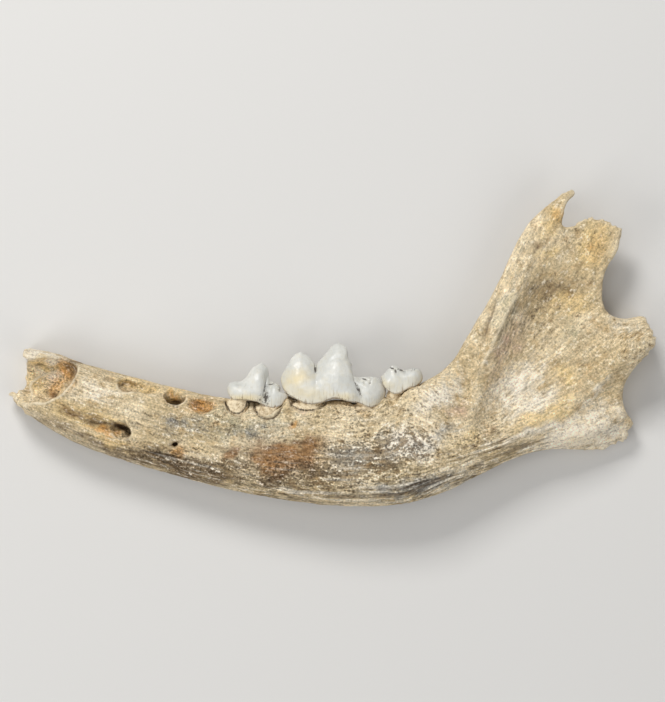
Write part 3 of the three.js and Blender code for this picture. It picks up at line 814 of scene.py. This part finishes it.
# the regions of the bone that carry each trait, from front to rear: the x, y, length, width and turn of
# each one's Spot, and its strength, from 0 to 1
STAINS: dict[Trait, Sequence[Row]] = {
    Trait.IRON: (
        (-79, -13.3, 2.6, 0.9, 14, 0.6), (-42.5, -28.6, 3, 1.4, 0, 0.4), (-35, -17, 2.2, 1.2, -12, 0.4),
        (-29, -29, 4, 1.5, 0, 0.75), (-18, -28.8, 5.5, 3.6, 0, 0.75), (-13, -31, 11, 5, 3, 0.85),
        (-8, -28.5, 7, 3.4, 12, 0.85), (43, -23.5, 3, 1.6, 20, 0.4), (57.3, 28.3, 1.6, 1.2, 30, 0.4),
    ),
    Trait.OCHRE: (
        (-83.4, -9, 3.4, 5, 0, 0.6), (-80, -4, 6.5, 1.5, -8, 0.8), (-79, -8, 9, 7, 0, 0.3),
        (-70.5, -18.5, 10, 3.6, -22, 1.0), (-62, -20, 5, 1.2, -8, 0.6), (-61.5, -26, 6.5, 1.8, -14, 1.0),
        (-54.5, -10.8, 6.4, 1.9, -10, 1.0), (-44.3, -12.8, 3.6, 1.7, -8, 1.0), (38, -26, 5, 4, 30, 0.5),
        (59.5, -18.5, 9.5, 2.8, 25, 0.9), (60, 25, 5, 3, 20, 0.5), (61.5, 35.5, 6, 2.4, 55, 0.7),
        (65, -8, 4, 6, 40, 0.6), (66, 13.5, 7, 3.4, 8, 0.6), (68, -25.5, 10, 3, 14, 0.3),
        (69, 11.5, 5, 2.4, 10, 0.6), (73, 28.5, 4.5, 8, -15, 0.8),
    ),
    Trait.AMBER: (
        (-77.4, -10.8, 4.8, 3, 35, 0.4), (-74.3, -6.8, 2.8, 4.2, 10, 0.75), (-72.5, -17, 6.5, 1.6, -24, 0.45),
        (-64.5, -22.6, 4, 1.1, -8, 0.85), (-62.5, -25, 6, 1.2, -14, 0.3), (-62.4, -8.4, 2.6, 1, -16, 0.25),
        (-58, -27, 2.4, 0.9, -6, 0.3), (-57.2, -10.6, 1.6, 0.9, -10, 0.4), (-44.4, -12.8, 3, 1.3, -8, 0.7),
        (-42.8, -28.8, 2.8, 1.5, 0, 0.7), (-36.2, -15.8, 3.4, 2.4, -12, 0.9), (-17.5, -31.6, 5, 3.4, 0, 0.6),
        (-12, -28.6, 9, 1.6, 6, 0.4), (-11.3, -21.2, 1.4, 1, 0, 1.0), (62.5, 36, 5, 2, 55, 0.3),
        (67, 14.5, 4, 1.6, 8, 0.2), (74, 28, 3, 6, -15, 0.35),
    ),
    Trait.UMBER: (
        (-76, -23, 12, 3, -30, 0.4), (-76, -16, 6, 2, -20, 0.3), (-72.2, -5.6, 1.7, 3.6, -8, 0.75),
        (-71, -18, 9, 2.6, -22, 0.7), (-65, -21, 4.5, 0.6, -8, 0.7), (-64, -27.5, 12, 2.4, -22, 0.55),
        (-60, -21.4, 2.2, 0.8, -30, 1.0), (-43.8, -15.2, 2, 0.9, -8, 1.0), (-43, -32.5, 20, 4, -13, 0.7),
        (-32, -34.5, 12, 3, -8, 0.55), (-18, -35.5, 7, 2.6, 0, 0.45), (-11, -29, 5, 2.4, 10, 0.14),
        (-6, -40, 24, 3.4, -4, 0.32), (51, -28.5, 8, 2, 20, 0.25), (60, 4, 7, 5, 0, 0.14),
        (61, 16.5, 9.5, 3.4, 0, 0.5), (73, 31, 6.5, 5, -50, 0.14),
    ),
    Trait.SLATE: (
        (-50, -29, 8, 1.2, -12, 0.4), (-42, -21.5, 11, 4, -10, 0.42), (-28, -31.5, 12, 2.6, -6, 0.25),
        (-22, -23.6, 13, 4, 0, 0.4), (6, -30.5, 11, 5, -4, 0.3), (8, -18, 9, 1.8, 0, 0.25),
        (14.7, -39, 3.4, 1.4, 0, 0.8), (21, -26.5, 13, 5.6, 14, 0.25), (24, -38.5, 14, 3, 12, 0.75),
        (31.5, -23.5, 4.5, 2.6, 25, 0.5),
    ),
    # chalky pale, and painted light where little light falls: the middle of the canine's socket and the
    # slopes under the ridge and at the angle
    Trait.CHALK: (
        (-80, -1.8, 8, 1.6, -8, 0.7), (-79.4, -7, 4.6, 2.6, -12, 1.0), (-66, -12.6, 7, 4.2, -12, 0.48),
        (-53.6, -10.6, 4, 1.2, -8, 0.8), (-37.2, -15.4, 1.3, 1.3, 0, 0.9), (7, -30.5, 11, 5, -4, 0.55),
        (22, -26.5, 12, 5, 14, 0.7), (30, -13, 8, 4, 28, 0.6), (36, -34, 12, 3.4, 18, 0.28),
        (51, -11, 12, 6, 35, 0.6), (56, -16, 10, 4.5, 28, 0.6), (57, -23, 12, 1.6, 18, 0.9),
        (68, -25, 13, 4, 14, 0.85), (72, -14, 9, 0.9, 42, 0.6), (75, -20, 9, 7, 0, 0.5),
        (79, -24.5, 6, 3.6, 30, 0.7), (82, 6, 7, 6, 0, 0.35),
    ),
    Trait.ROSE: (
        (-79.2, -8.4, 4.8, 3.4, 0, 0.5), (-8.5, -16.3, 3, 1.3, 0, 0.5), (22, -25, 10, 3.4, 14, 0.2),
        (34.5, -17.5, 4, 2.5, 0, 0.5), (46, -6, 4, 7, -20, 0.3), (49, 2, 4, 10, -35, 0.4),
    ),
    Trait.MOSS: (
        (-70.5, -17.8, 10, 3, -22, 0.5), (-68, -30, 14, 3, -22, 0.4), (-26, -22, 18, 6, -4, 0.45),
        (48, 9, 2.6, 10, -20, 0.45), (68, 5, 4, 6, 0, 0.4), (84, 4, 5, 4, 0, 0.25),
    ),
    Trait.STREAKED: (
        (-73, -23, 17, 4, -22, 0.25), (0, -34, 40, 6, 0, 0.7), (42, -28.5, 16, 3.4, 22, 0.8),
        (48, 6, 4, 22, -22, 0.45), (55, 7, 6, 9, -20, 0.4),
    ),
    Trait.FLAKED: (
        (-78, -9, 8, 6, 0, 0.4), (-58.6, -23.6, 2.4, 1.8, -30, 0.7), (-54, -11, 7, 2.2, -12, 0.35),
        (-44, -31, 16, 3.4, -12, 0.75), (-36.8, -15.6, 3.4, 2.6, 0, 0.5), (-30, -32.4, 14, 3.4, -6, 0.75),
        (-30, -22, 26, 6, -5, 0.35), (-14, -36.5, 16, 3, -3, 0.75), (2, -35, 26, 5, 0, 0.9),
        (6, -31, 11, 5, -4, 1.0), (8, -18, 24, 5, 0, 0.35), (16, -28.5, 17, 7, 12, 0.85),
        (40, -26, 10, 4, 22, 0.5), (61, 6, 9, 9, 0, 0.12), (72, 30, 8, 6, 0, 0.15), (82, 0, 8, 6, 0, 0.2),
    ),
    Trait.RUGOSE: (
        (59, 9, 9, 10, -20, 1.0), (66, 27, 10, 6, 0, 0.5), (74, -1, 9, 6, 20, 0.6), (78, -24, 6, 5, 0, 0.7),
    ),
    Trait.BROKEN: (
        (-88, -8, 3.5, 9, 0, 1.0), (74, 35.5, 8, 3, -12, 1.0), (81, -25.5, 5, 3.5, 30, 1.0),
        (89, 3, 3, 7, 0, 0.8),
    ),
}


@dataclass
class JawBone:
    """The bone: its worn and broken surface, with the grain, pits and stains that it carries.

    Attributes:
        cell: The size of its mesh cells.
        soft_rounds: How long its broad faces are softened, until no facet shows.
        edge_ease: How much of that its edges and rims take.
        bends: How sharply the surface bends where a broad face ends, and where an edge has begun.
        bend_rounds: How wide the surroundings are that a point's bend is measured against.
        near_rounds: How wide the surroundings are that small hollows are measured against.
        deep_rounds: The same for large hollows.
        open_shade: How much of the small hollows' painted shade the open places keep.
        open_places: The wide and slanting sockets, which are too open to take the painted shade of hollows
            inside.
        wander: How far the outlines of stains stray.
        wander_cell: The size of the lobes that this gives them.
        border_width: How far the fibres of the lower border reach across it.
        border_end: Where along X they have ended towards the rear, and where they start to.
        chin_end: Where along X they start to grow stronger than at the chin, and where they have.
    """

    node: str = "jaw_bone"
    slot: str = "bone"
    cell: float = 0.48
    soft_rounds: int = 50
    edge_ease: float = 0.1
    bends: Point = (0.08, 0.22)
    bend_rounds: int = 12
    near_rounds: int = 8
    deep_rounds: int = 140
    open_shade: float = 0.35
    open_places: tuple[Spot, ...] = (
        Spot(-79, -9, 8, 7, wall=2),
        Spot(-54.5, -11, 6.5, 2.4, -8, wall=2),
        Spot(-44.4, -12.4, 4, 1.5, -8, wall=2),
        Spot(-36.6, -15.4, 4, 3, -12, wall=2),
    )
    wander: float = 2.2
    wander_cell: float = 7.0
    border_width: float = 8.0
    border_end: Point = (70, 54)
    chin_end: Point = (-64, -46)
    wear: Wear = field(default_factory=Wear)
    grain: Grain = field(default_factory=Grain)
    finish: FossilBone = field(default_factory=FossilBone)
    stains: dict[Trait, Sequence[Row]] = field(default_factory=lambda: STAINS)
    dents: tuple[Dent, ...] = (
        # the broken sockets of the first two premolars, and the filled one
        *dented(
            (-62.2, -9, 1.9, 0.6, -16, 0.35, 0.15), (-57.8, -10.9, 2.2, 1.5, -20, 0.6),
            (-53.2, -11.3, 4.6, 1.3, -8, 1.0),
            wall=3,
        ),
        *dented(
            (-58.6, -10.2, 0.5, 0.3, 20, 0.35, 0.7), (-55.9, -10.1, 0.7, 0.3, -20, 0.35, 0.6),
            (-53.4, -10.9, 0.5, 0.3, 0, 0.3, 0.6), (-51, -11.6, 0.6, 0.3, 10, 0.3, 0.5),
        ),
        Dent(-36.5, -15.9, 3.4, 2.3, -12, 0.6, 0.1, wall=3),
        Dent(-44.5, -13.5, 2.9, 1.3, -8, -1.2, z=8.3, thickness=1.6),
        Dent(-44.3, -16.2, 2.6, 0.9, -8, 0.9, 0.7, z=6.7, thickness=1.6),
        # the filling of the nerve's opening, with painted shade under its upper and right edges, and the
        # groove that leads to it
        *dented(
            (-59.4, -23.8, 1.7, 1.1, -35, -1.6), (-59.3, -22.2, 2.6, 0.7, -22, 0.4, 0.75),
            (-56.8, -23.8, 0.7, 1, 20, 0.2, 0.5), (-65.5, -22.3, 4, 0.9, -10, 0.9),
            (-62.6, -22.6, 2, 0.7, -10, 0.4),
        ),
        # small openings, darkened inside with painted shade
        *dented(
            (-44.2, -26.9, 1.3, 0.6, 10, 0.5, 0.9), (-43.1, -26.4, 0.9, 0.35, 20, 0.4, 0.7),
            (-45.4, -27.2, 0.7, 0.3, 0, 0.3, 0.6), (-11.3, -21.2, 0.5, 0.45, 0, 0.6, 1.0),
            (57.3, 28, 0.7, 1.3, -25, 0.5, 0.5), (34.5, -38, 0.9, 0.45, 20, 0.3, 0.9),
            (-8, -26.4, 2, 0.4, 0, 0.25, 0.7),
        ),
        # the angle and the rear of the muscle hollow, painted pale: painted light on slopes that face away
        # from the lamps
        *dented((70, -25.6, 9, 3, 12, 0, -0.35), (59.5, -21.4, 6, 2.2, 20, 0, -0.35)),
        # the canine's socket: its floor, and the pits in it
        Dent(-79.5, -8.5, 5, 4.5, 0, -1.5, wall=1.5),
        *dented(
            (-82.2, -4.4, 1.1, 0.35, 0, 0.45, 0.8), (-80.2, -4.9, 0.8, 0.35, -10, 0.4, 0.7),
            (-77.2, -5.2, 0.7, 0.3, -20, 0.4, 0.7), (-78.7, -5.1, 0.7, 0.35, -30, 0.45, 0.8),
            (-83.3, -9.9, 0.7, 0.35, -30, 0.4, 0.5), (-81.6, -10.8, 1.6, 0.3, 0, 0.3, 0.5),
            (-80.2, -13, 0.5, 0.4, 0, 0.4, 0.7), (-78, -13.2, 0.9, 0.5, 20, 0.5, 0.8),
        ),
    )
    cracks: tuple[Crack, ...] = (
        *ROOT_EDGES,
        # painted shadow along the upper edge of the groove that leads to the nerve's opening
        Crack(((-70, -20.5), (-66, -21.1), (-61.8, -21.6)), 0.5, 0.5, 0.6),
        # lines along the lower border
        Crack(((-60.7, -28.6), (-53, -29), (-44, -30.6), (-36, -32)), 0.5, 0.35, 0.5),
        Crack(((-35, -27), (-28, -28.6), (-20, -30.4)), 0.45, 0.25, 0.4),
        Crack(((27.3, -30.2), (39.9, -26.9), (52.5, -24.9), (63, -23.6)), 0.4, 0.25, 0.22),
        Crack(((31.5, -31.6), (46.2, -28), (63.3, -26.2)), 0.3, 0.2, 0.3),
        Crack(((8, -39.5), (20, -39), (31, -35.5)), 0.4, 0.25, 0.35),
        Crack(((-20, -38), (-6, -40.2), (8, -41.2)), 0.4, 0.25, 0.3),
        # the groove between the ramus's front edge and its crest, darkened with painted shade, the crest's
        # line, painted pale, and painted shade at its foot on the hollow's side
        Crack(((46.8, 17.5), (44.7, 10.6), (43.5, 7.3), (42.6, 3.9), (41.2, -2)), 0.6, 0.85, 0.35, 7),
        Crack(((54, 21.5), (50.4, 13.6), (45.5, 2.8), (41, -6.6), (38.2, -16.5)), 0.75, -0.5, -0.15, 12),
        Crack(((53.6, 17.6), (51.6, 13), (46.8, 2.2), (43.5, -4), (40.8, -10.6)), 0.9, 0.25, 0.2, 8),
        # the ridge under the muscle hollow
        Crack(((38.6, -26.4), (47.9, -23.7), (58, -20.9), (66.5, -17.6), (79, -6.8)), 0.9, -0.2, 0),
        Crack(((47.9, -25.2), (58, -22.4), (66.5, -19.2), (74.5, -13.4)), 0.4, 0.1, 0.12),
        # the broken rim of the second premolar's socket, painted pale, and painted shade just inside it
        Crack(
            ((-60.7, -9.6), (-60, -11.8), (-58.6, -12.9), (-54.8, -12.6), (-49.7, -13.4)),
            0.35, -0.35, -0.7, 1
        ),
        Crack(((-59.7, -9.8), (-58.9, -11.9), (-55.2, -11.8), (-50.2, -12.4)), 0.3, 0.3, 0.4, 1),
        # the rim of the canine's socket, the shade inside it, and the rim of the cup
        Crack(
            ((-71.2, -4), (-71.1, -6.5), (-72.6, -10.2), (-75.4, -13.4), (-80.5, -15.7), (-84.3, -15.2)),
            0.35, -0.3, -0.6, 2
        ),
        Crack(((-72.6, -3.4), (-72.3, -6.4), (-73.8, -9.6), (-76.4, -12.3)), 1.0, 0.6, 0.45, 3),
        Crack(((-76, -12.4), (-80.5, -14.3), (-83.4, -13.9)), 0.8, 0.5, 0.12, 2),
        Crack(((-84.3, -15), (-84.6, -10.9), (-82.3, -7.7), (-79, -6), (-76.7, -6.2)), 0.45, -0.6, -0.9, 2),
        # the rims of the cheek teeth's sockets and of the nerve's opening
        Crack(
            ((-47.4, -12.2), (-45.7, -15.2), (-43.6, -16.3), (-41.5, -15.4), (-40.6, -13.4)),
            0.3, -0.1, -0.5, 1
        ),
        Crack(
            ((-40.1, -14.3), (-39, -16.9), (-36.2, -18.4), (-33.8, -17.7), (-32.8, -15)),
            0.3, -0.1, -0.45, 1
        ),
        Crack(((-56, -22.3), (-55.9, -24.2), (-57.4, -26.1)), 0.35, -0.1, -0.4, 1),
        # the edges of the ramus, painted pale
        Crack(((79, 30), (75.4, 24), (74.9, 17.6), (76, 11.4), (80.5, 7.4), (87.5, 7.9)), 0.6, 0, -0.3, 4),
        Crack(((84.5, -4), (82, -8.5), (81, -14), (82, -18)), 0.5, 0, -0.4, 3),
    )
    shoves: tuple[Row, ...] = (
        # the broken front edge and its lower tip
        (-84.6, -7.8, 2.2, 4.2, -0.9, 0), (-91.5, -12.8, 2.5, 2, -0.6, -0.3),
        (-90.4, -14.4, 1.8, 1.4, -0.5, -0.3), (-87.6, -13.4, 2.2, 1.3, 0, 0.9),
        (-87.5, -16.8, 3, 1.6, -0.3, -0.6), (-86.4, -2.6, 2, 1.4, 0.4, 0.4), (-86.2, -0.6, 2, 1.2, -0.3, 0.3),
        # the broken hinge
        (90, 2.5, 2.5, 4, -0.5, 0),
        # the bone between the teeth and under the last one
        (-12.8, -14.6, 1.5, 1.6, 0, 1.2), (14.8, -15.2, 1.6, 1.6, 0, 1.1), (22, -12.4, 3.6, 1.8, 0, 1.0),
    )

    def build(self) -> None:
        """Builds, carves and dresses the bone."""
        piece = refined_copy(self.node, "fossil_bone_piece", self.cell)
        surface = Surface(piece)
        self.soften(surface)
        grain = self.grain.coordinates(surface.points)
        traits = self.traits(surface.points, grain)
        self.weather(surface, grain, traits)
        for trait, values in traits.items():
            surface.store(trait.value, values)
        surface.store("grain", grain)
        # painted shade: how far each point lies below its surroundings darkens its colour, less in the open
        # sockets
        closed = 1 - np.max([place.share(surface.points) for place in self.open_places], axis=0)
        shade = self.open_shade + closed * (1 - self.open_shade)
        surface.store("hollow", surface.hollowness(self.near_rounds) * shade)
        surface.store("deep", surface.hollowness(self.deep_rounds) * closed)
        placed(piece, self.node, self.finish)

    def soften(self, surface: Surface) -> None:
        """Takes the facets out of the broad faces, and wears the edges and rims a little.

        Args:
            surface: The bone's surface.
        """
        normals = surface.normals()
        bent = np.linalg.norm(normals - surface.averaged(normals, self.bend_rounds), axis=1)
        broad = surface.averaged(1 - smoothstep(bent, *self.bends), 3)
        surface.relax(self.edge_ease + (1 - self.edge_ease) * broad, self.soft_rounds)

    def traits(self, points: Array, grain: Array) -> dict[Trait, Array]:
        """Spreads the stains over the bone.

        Args:
            points: The places, one row each.
            grain: Their coordinates along the fibres.

        Returns:
            How strongly each point carries each trait, from 0 to 1.
        """
        lobes = [fractal(points, self.wander_cell, seed=seed) for seed in (5, 15)]
        wandered = points + self.wander * np.column_stack([*lobes, np.zeros(len(points))])
        found = {
            trait: np.max([strength * Spot(*oval).share(wandered) for *oval, strength in rows], axis=0)
            for trait, rows in self.stains.items()
        }
        # fibres show all along the lower border, less at the chin, and faintly all over
        border = np.exp(-((grain[:, 1] / self.border_width) ** 2))
        border *= smoothstep(points[:, 0], *self.border_end)
        border *= 0.35 + 0.65 * smoothstep(points[:, 0], *self.chin_end)
        found[Trait.STREAKED] = np.maximum(found[Trait.STREAKED], 0.06 + 0.8 * border)
        return found

    def weather(self, surface: Surface, grain: Array, traits: dict[Trait, Array]) -> None:
        """Roughens the surface, and carves its fibres, pits, dents and cracks.

        Args:
            surface: The bone's surface.
            grain: The coordinates of its points along the fibres.
            traits: How strongly they carry each trait.
        """
        wear = self.wear
        points = surface.points
        normals = surface.normals()
        folded = np.column_stack([*turned(points, wear.fold_turn), points[:, 2]])
        flakes = smoothstep(fractal(points, wear.flake_cell, 2, 31), 0.1, 0.6)
        rough = 0.35 + traits[Trait.FLAKED]
        side = traits[Trait.BROKEN] * (1 - np.abs(normals[:, 2]))
        depth = wear.waves * fractal(points, wear.wave_cell)
        depth = depth + wear.grit * fractal(points, wear.grit_cell, seed=11) * rough - wear.swell
        depth += wear.fibres * furrows(grain, wear.fibre_cell, 0.18, 23) * traits[Trait.STREAKED]
        depth += wear.flakes * flakes * traits[Trait.FLAKED]
        depth += wear.folds * furrows(folded, wear.fold_cell, 0.14, 57) * traits[Trait.RUGOSE]
        depth += wear.jags * fractal(points, wear.jag_cell, 2, 41) * side
        cheek = np.clip(normals[:, 2] * 2, 0, 1)
        frayed = points + wear.fray * fractal(points, wear.fray_cell, seed=71)[:, None]
        # each dent and crack is cut in and painted: dark for grime and painted shade, pale for wear and
        # painted light
        dirt_and_shade = np.zeros(len(points))
        pale_wear_and_painted_light = np.zeros(len(points))
        for mark in (*self.dents, *self.cracks):
            share = mark.share(frayed) * cheek
            depth += mark.depth * share
            dirt_and_shade = np.maximum(dirt_and_shade, mark.dirt_and_shade * share)
            pale_wear_and_painted_light = np.maximum(pale_wear_and_painted_light, -mark.dirt_and_shade * share)
        surface.press(depth)
        surface.shove(self.shoves, points)
        # whatever is left under the floor is brought up to it
        surface.move(np.column_stack([np.zeros((len(points), 2)), np.maximum(-surface.points[:, 2], 0)]))
        surface.store("dirt_and_shade", dirt_and_shade - pale_wear_and_painted_light)


@dataclass
class Tooth:
    """One cheek tooth. Its own places run from its neck: x along the tooth row, y up and z to the cheek.

    Attributes:
        node: The CAD node's name.
        height: How far its crest stands above its neck.
        neck: The line between enamel and root, seen from the cheek, as points in x and y.
        dents: What is carved into the crown or raised on it.
        shoves: What is moved as a whole, so that its tips are blunt, as rows for Surface.shove.
        warm_zones: The x, y, length, width and turn of each one's Spot, and its strength.
        cell: The size of its mesh cells.
        soft_rounds: How long its surface is softened.
        waves: How deep the unevenness of its surface is.
        wave_cell: How large its lumps are.
        root_grit: How deep the finer unevenness of its root is.
        grit_cell: How large its grains are.
        neck_edge: How far from the neck the root ends and the crown begins.
        gap_shade: How dark its root is painted along the bone's edge: painted shade in the gap between them.
    """

    node: str
    height: float
    neck: Sequence[Point]
    dents: Sequence[Dent]
    shoves: Sequence[Row]
    warm_zones: Sequence[Row]
    cell: float = 0.2
    soft_rounds: int = 22
    waves: float = 0.09
    wave_cell: float = 2.6
    root_grit: float = 0.14
    grit_cell: float = 1.3
    neck_edge: Point = (-0.25, 0.05)
    gap_shade: float = 0.75
    slot: str = "enamel"
    finish: Enamel = field(default_factory=Enamel)

    def build(self) -> None:
        """Builds, carves and dresses the tooth."""
        low, high = (np.array(corner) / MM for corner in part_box(self.node))
        origin = np.array([(low[0] + high[0]) / 2, high[1] - self.height, (low[2] + high[2]) / 2])
        piece = refined_copy(self.node, f"tooth_{self.node}", self.cell)
        surface = Surface(piece)
        surface.relax(np.ones(len(surface.points)), self.soft_rounds)
        own = surface.points - origin
        above_neck = own[:, 1] - np.interp(own[:, 0], *zip(*self.neck))
        crown = smoothstep(above_neck, *self.neck_edge)
        depth = self.waves * fractal(own, self.wave_cell, seed=7)
        depth += self.root_grit * fractal(own, self.grit_cell, seed=3) * (1 - crown)
        # painted shade on the root, in the gap along the bone's edge
        gap = np.max([edge.share(surface.points) for edge in ROOT_EDGES], axis=0)
        dirt_and_shade = self.gap_shade * gap * (1 - crown)
        for dent in self.dents:
            share = dent.share(own) * crown
            depth += dent.depth * share
            dirt_and_shade = np.maximum(dirt_and_shade, dent.dirt_and_shade * share)
        surface.press(depth)
        surface.shove(self.shoves, own)
        warm = np.max([strength * Spot(*oval).share(own) for *oval, strength in self.warm_zones], axis=0)
        surface.store("crown", crown)
        surface.store("above_neck", above_neck)
        surface.store("dirt_and_shade", dirt_and_shade)
        surface.store(Trait.OCHRE.value, warm)
        placed(piece, self.node, self.finish)


TEETH = (
    Tooth(
        "carnassial_m1",
        16.5,
        (
            (-14.5, 6.2), (-13.9, 3.8), (-12.4, 2.1), (-10, 0.7), (-7.6, -0.4), (-5.5, -0.6), (-3, -0.1),
            (-1, 0.8), (0.6, 1.2), (2.6, 0.8), (5, 0.1), (7.4, -0.2), (10.2, -1.5), (12.4, -1.1), (14, 0.6),
            (14.6, 3.1),
        ),
        (
            # the slit under the notch, darkened with painted shade
            Dent(-4.8, 9.4, 0.25, 1.5, 0, 0.7, 0.9),
            Dent(-4.7, 4.4, 1.5, 3.6, 0, -0.45, z=4, thickness=5),
            Dent(5.4, 11, 1.2, 1.4, 0, -0.6),
            *dented((-9.5, 5, 3.6, 4, 0, -0.3), (1.2, 6, 2.4, 6, 6, -0.35), z=4, thickness=5),
            Dent(4.6, 1.8, 2.4, 1.5, -20, -0.6, z=4, thickness=4),
            Dent(7.1, 3.8, 0.3, 3, 20, 0.65, 0.7, z=4, thickness=6),
            Dent(7.2, 6.2, 1.3, 0.7, 0, 0.35, 0.3),
            Dent(11.4, 2.8, 2.6, 3, 0, -0.3, z=4, thickness=4),
            Dent(10.2, 7.3, 1.6, 0.5, 0, 0.3, 0.35, thickness=4),
            *dented(
                (9, 6.3, 1.2, 0.25, -15, 0.3, 0.5), (8.6, 5.1, 0.25, 0.9, 20, 0.3, 0.6),
                (10.5, 5.4, 0.25, 0.9, -25, 0.25, 0.45), (-2.6, 13.2, 0.4, 2.2, -39, 0.1, 0.45),
                (-7, 13, 0.35, 1, 50, 0.05, 0.4),
            ),
        ),
        (
            (-10.4, 12.4, 1.6, 2, -0.3, 0.1), (-7, 12.6, 1.5, 1.8, 0.55, 0.1), (3.4, 14.2, 1.4, 2, 0.55, 0),
            (0.4, 14.6, 1.1, 1.4, -0.25, 0.1), (13.8, 2.8, 1.6, 2.6, 0.6, 0),
        ),
        ((-10, 6.4, 3.8, 2.4, 20, 0.7), (-7, 2.5, 6, 2, -10, 0.4), (3.5, 1.6, 3, 1.2, 0, 0.3)),
    ),
    Tooth(
        "premolar_p4",
        10.7,
        (
            (-8.4, 3.2), (-7.5, 1.4), (-6.2, 0.5), (-3, 0.4), (0, 0), (2.4, -1.3), (5, -1.8), (7, -1.1),
            (8.1, 1.4),
        ),
        (
            *dented(
                (3.1, 2.6, 0.5, 3.4, 4, 0.55, 0.6), (2.9, 1.2, 1.1, 2.2, 4, 0.1, 0.75),
                (1.7, 0.6, 1.5, 1.7, 4, 0, 0.42), (1.9, 6, 1.3, 2.8, -10, -0.35),
                z=3, thickness=4,
            ),
            Dent(-4.6, 5.2, 0.9, 0.7, 0, 0.3),
            *dented(
                (-6.3, 3, 1.6, 2, 0, -0.25), (0.6, 5, 1.6, 4, -6, -0.3), (5.4, 2, 1.8, 2.4, 0, -0.3),
                z=3, thickness=3,
            ),
            *dented(
                (5.3, 5.4, 0.35, 0.7, 0, 0.45, 0.4), (7, 3, 0.8, 0.4, 0, 0.9, 0.3),
                (4.4, 4.8, 1.3, 0.25, 12, 0.2, 0.6),
            ),
            Dent(2.7, 4.3, 0.22, 2.2, -12, 0.5, 0.7, z=3, thickness=5),
        ),
        (
            (1.9, 9, 1.3, 1.7, 0.5, 0.05), (-0.8, 9, 1.4, 2, -0.3, 0.1), (7.8, 1.8, 1.6, 1.6, 0.9, 0),
        ),
        ((-3, 1, 5, 0.9, 0, 0.5),),
    ),
    Tooth(
        "molar_m2",
        7.3,
        (
            (-6, 3.9), (-4.6, 1.9), (-3.6, 0), (-2.2, -0.8), (-0.6, -0.6), (0.8, 0.2), (2, 1), (3.6, 1.2),
            (5.2, 2.4), (6, 4.1),
        ),
        (
            *dented(
                (-3.2, 6.6, 1.4, 0.3, -20, 0.3, 0.75), (-1.8, 5.6, 0.35, 1, 10, 0.2, 0.6),
                (-0.4, 5.9, 1.6, 0.35, -30, 0.3, 0.75),
            ),
            Dent(0.8, 4, 1.2, 1.6, 0, -0.9, z=3, thickness=4),
            *dented((0.9, 5.2, 0.4, 1.2, 0, 0.2, 0.35), (3.2, 6, 1.1, 0.4, 20, 0.25, 0.5)),
            Dent(-2.6, 3, 2, 2.2, 0, -0.25, z=3, thickness=3),
            Dent(-4.6, 1.6, 1.5, 1.5, 0, -0.8),
            Dent(3.6, 4, 1.6, 1.8, 0, -0.25, z=3, thickness=3),
        ),
        (),
        ((-3.5, 2, 3, 1.4, 0, 0.25), (3.5, 2.6, 3, 1, 0, 0.12)),
    ),
)


@dataclass(frozen=True)
class Light:
    """A soft square light that faces the jaw.

    Attributes:
        name: Its name.
        place: Where it hangs.
        size: Its side.
        power: Its power, in watts.
    """

    name: str
    place: Place
    size: float
    power: float

    def build(self) -> None:
        """Hangs the light."""
        bpy.ops.object.light_add(type="AREA", location=Vector(self.place) * MM)
        lamp = bpy.context.active_object
        lamp.name = self.name
        lamp.data.size = self.size * MM
        lamp.data.energy = self.power
        lamp.rotation_euler = Vector(self.place).to_track_quat("Z", "Y").to_euler()


@dataclass
class Studio:
    """The floor, the lights and the camera, which looks straight down.

    Attributes:
        view_width: The width of what the camera sees at the height of the jaw's middle.
        view_middle: The y that it looks at.
        distance: How far it stands above the jaw's middle.
        middle_height: The height of the jaw's middle above the floor.
        sensor: The camera's sensor width.
        floor_size: The floor's side.
        sky: The colour of the light from all round.
        sky_strength: Its strength.
    """

    view_width: float = 186.2
    view_middle: float = -0.84
    distance: float = 1100.0
    middle_height: float = 11.0
    sensor: float = 36.0
    floor_size: float = 4000.0
    floor: StudioFloor = field(default_factory=StudioFloor)
    lights: tuple[Light, ...] = (
        Light("key_light", (-250, 640, 620), 300, 5.5),
        Light("front_light", (-640, -340, 460), 400, 2.2),
        Light("fill_light", (520, -520, 620), 600, 1.9),
        Light("top_light", (-200, 100, 1300), 600, 2.2),
    )
    sky: Colour = srgb(232, 234, 238)
    sky_strength: float = 0.34

    def build(self) -> None:
        """Builds the floor, the lights and the camera."""
        bpy.ops.object.select_all(action="DESELECT")
        bpy.ops.mesh.primitive_plane_add(size=self.floor_size * MM, location=(0, 0, 0))
        floor = bpy.context.active_object
        floor.name = "studio_floor"
        floor.data.materials.append(self.floor.material())
        for light in self.lights:
            light.build()
        world = bpy.data.worlds.new("studio_world")
        world.use_nodes = True
        background = world.node_tree.nodes["Background"]
        background.inputs["Color"].default_value = (*self.sky, 1.0)
        background.inputs["Strength"].default_value = self.sky_strength
        bpy.context.scene.world = world
        bpy.context.scene.view_settings.view_transform = "Standard"
        self.camera()
        LOG.info("studio: floor, lights and camera")

    def camera(self) -> None:
        """Adds the camera."""
        height = self.middle_height + self.distance
        bpy.ops.object.camera_add(location=(0, self.view_middle * MM, height * MM), rotation=(0, 0, 0))
        camera = bpy.context.active_object
        camera.data.sensor_fit = "HORIZONTAL"
        camera.data.sensor_width = self.sensor
        camera.data.lens = self.sensor * self.distance / self.view_width
        bpy.context.scene.camera = camera


def main() -> None:
    """Builds the jaw and its studio in order."""
    logging.basicConfig(level=logging.INFO, format="%(name)s: %(message)s")
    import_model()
    JawBone().build()
    for tooth in TEETH:
        tooth.build()
    Studio().build()


if __name__ == "__main__":
    main()
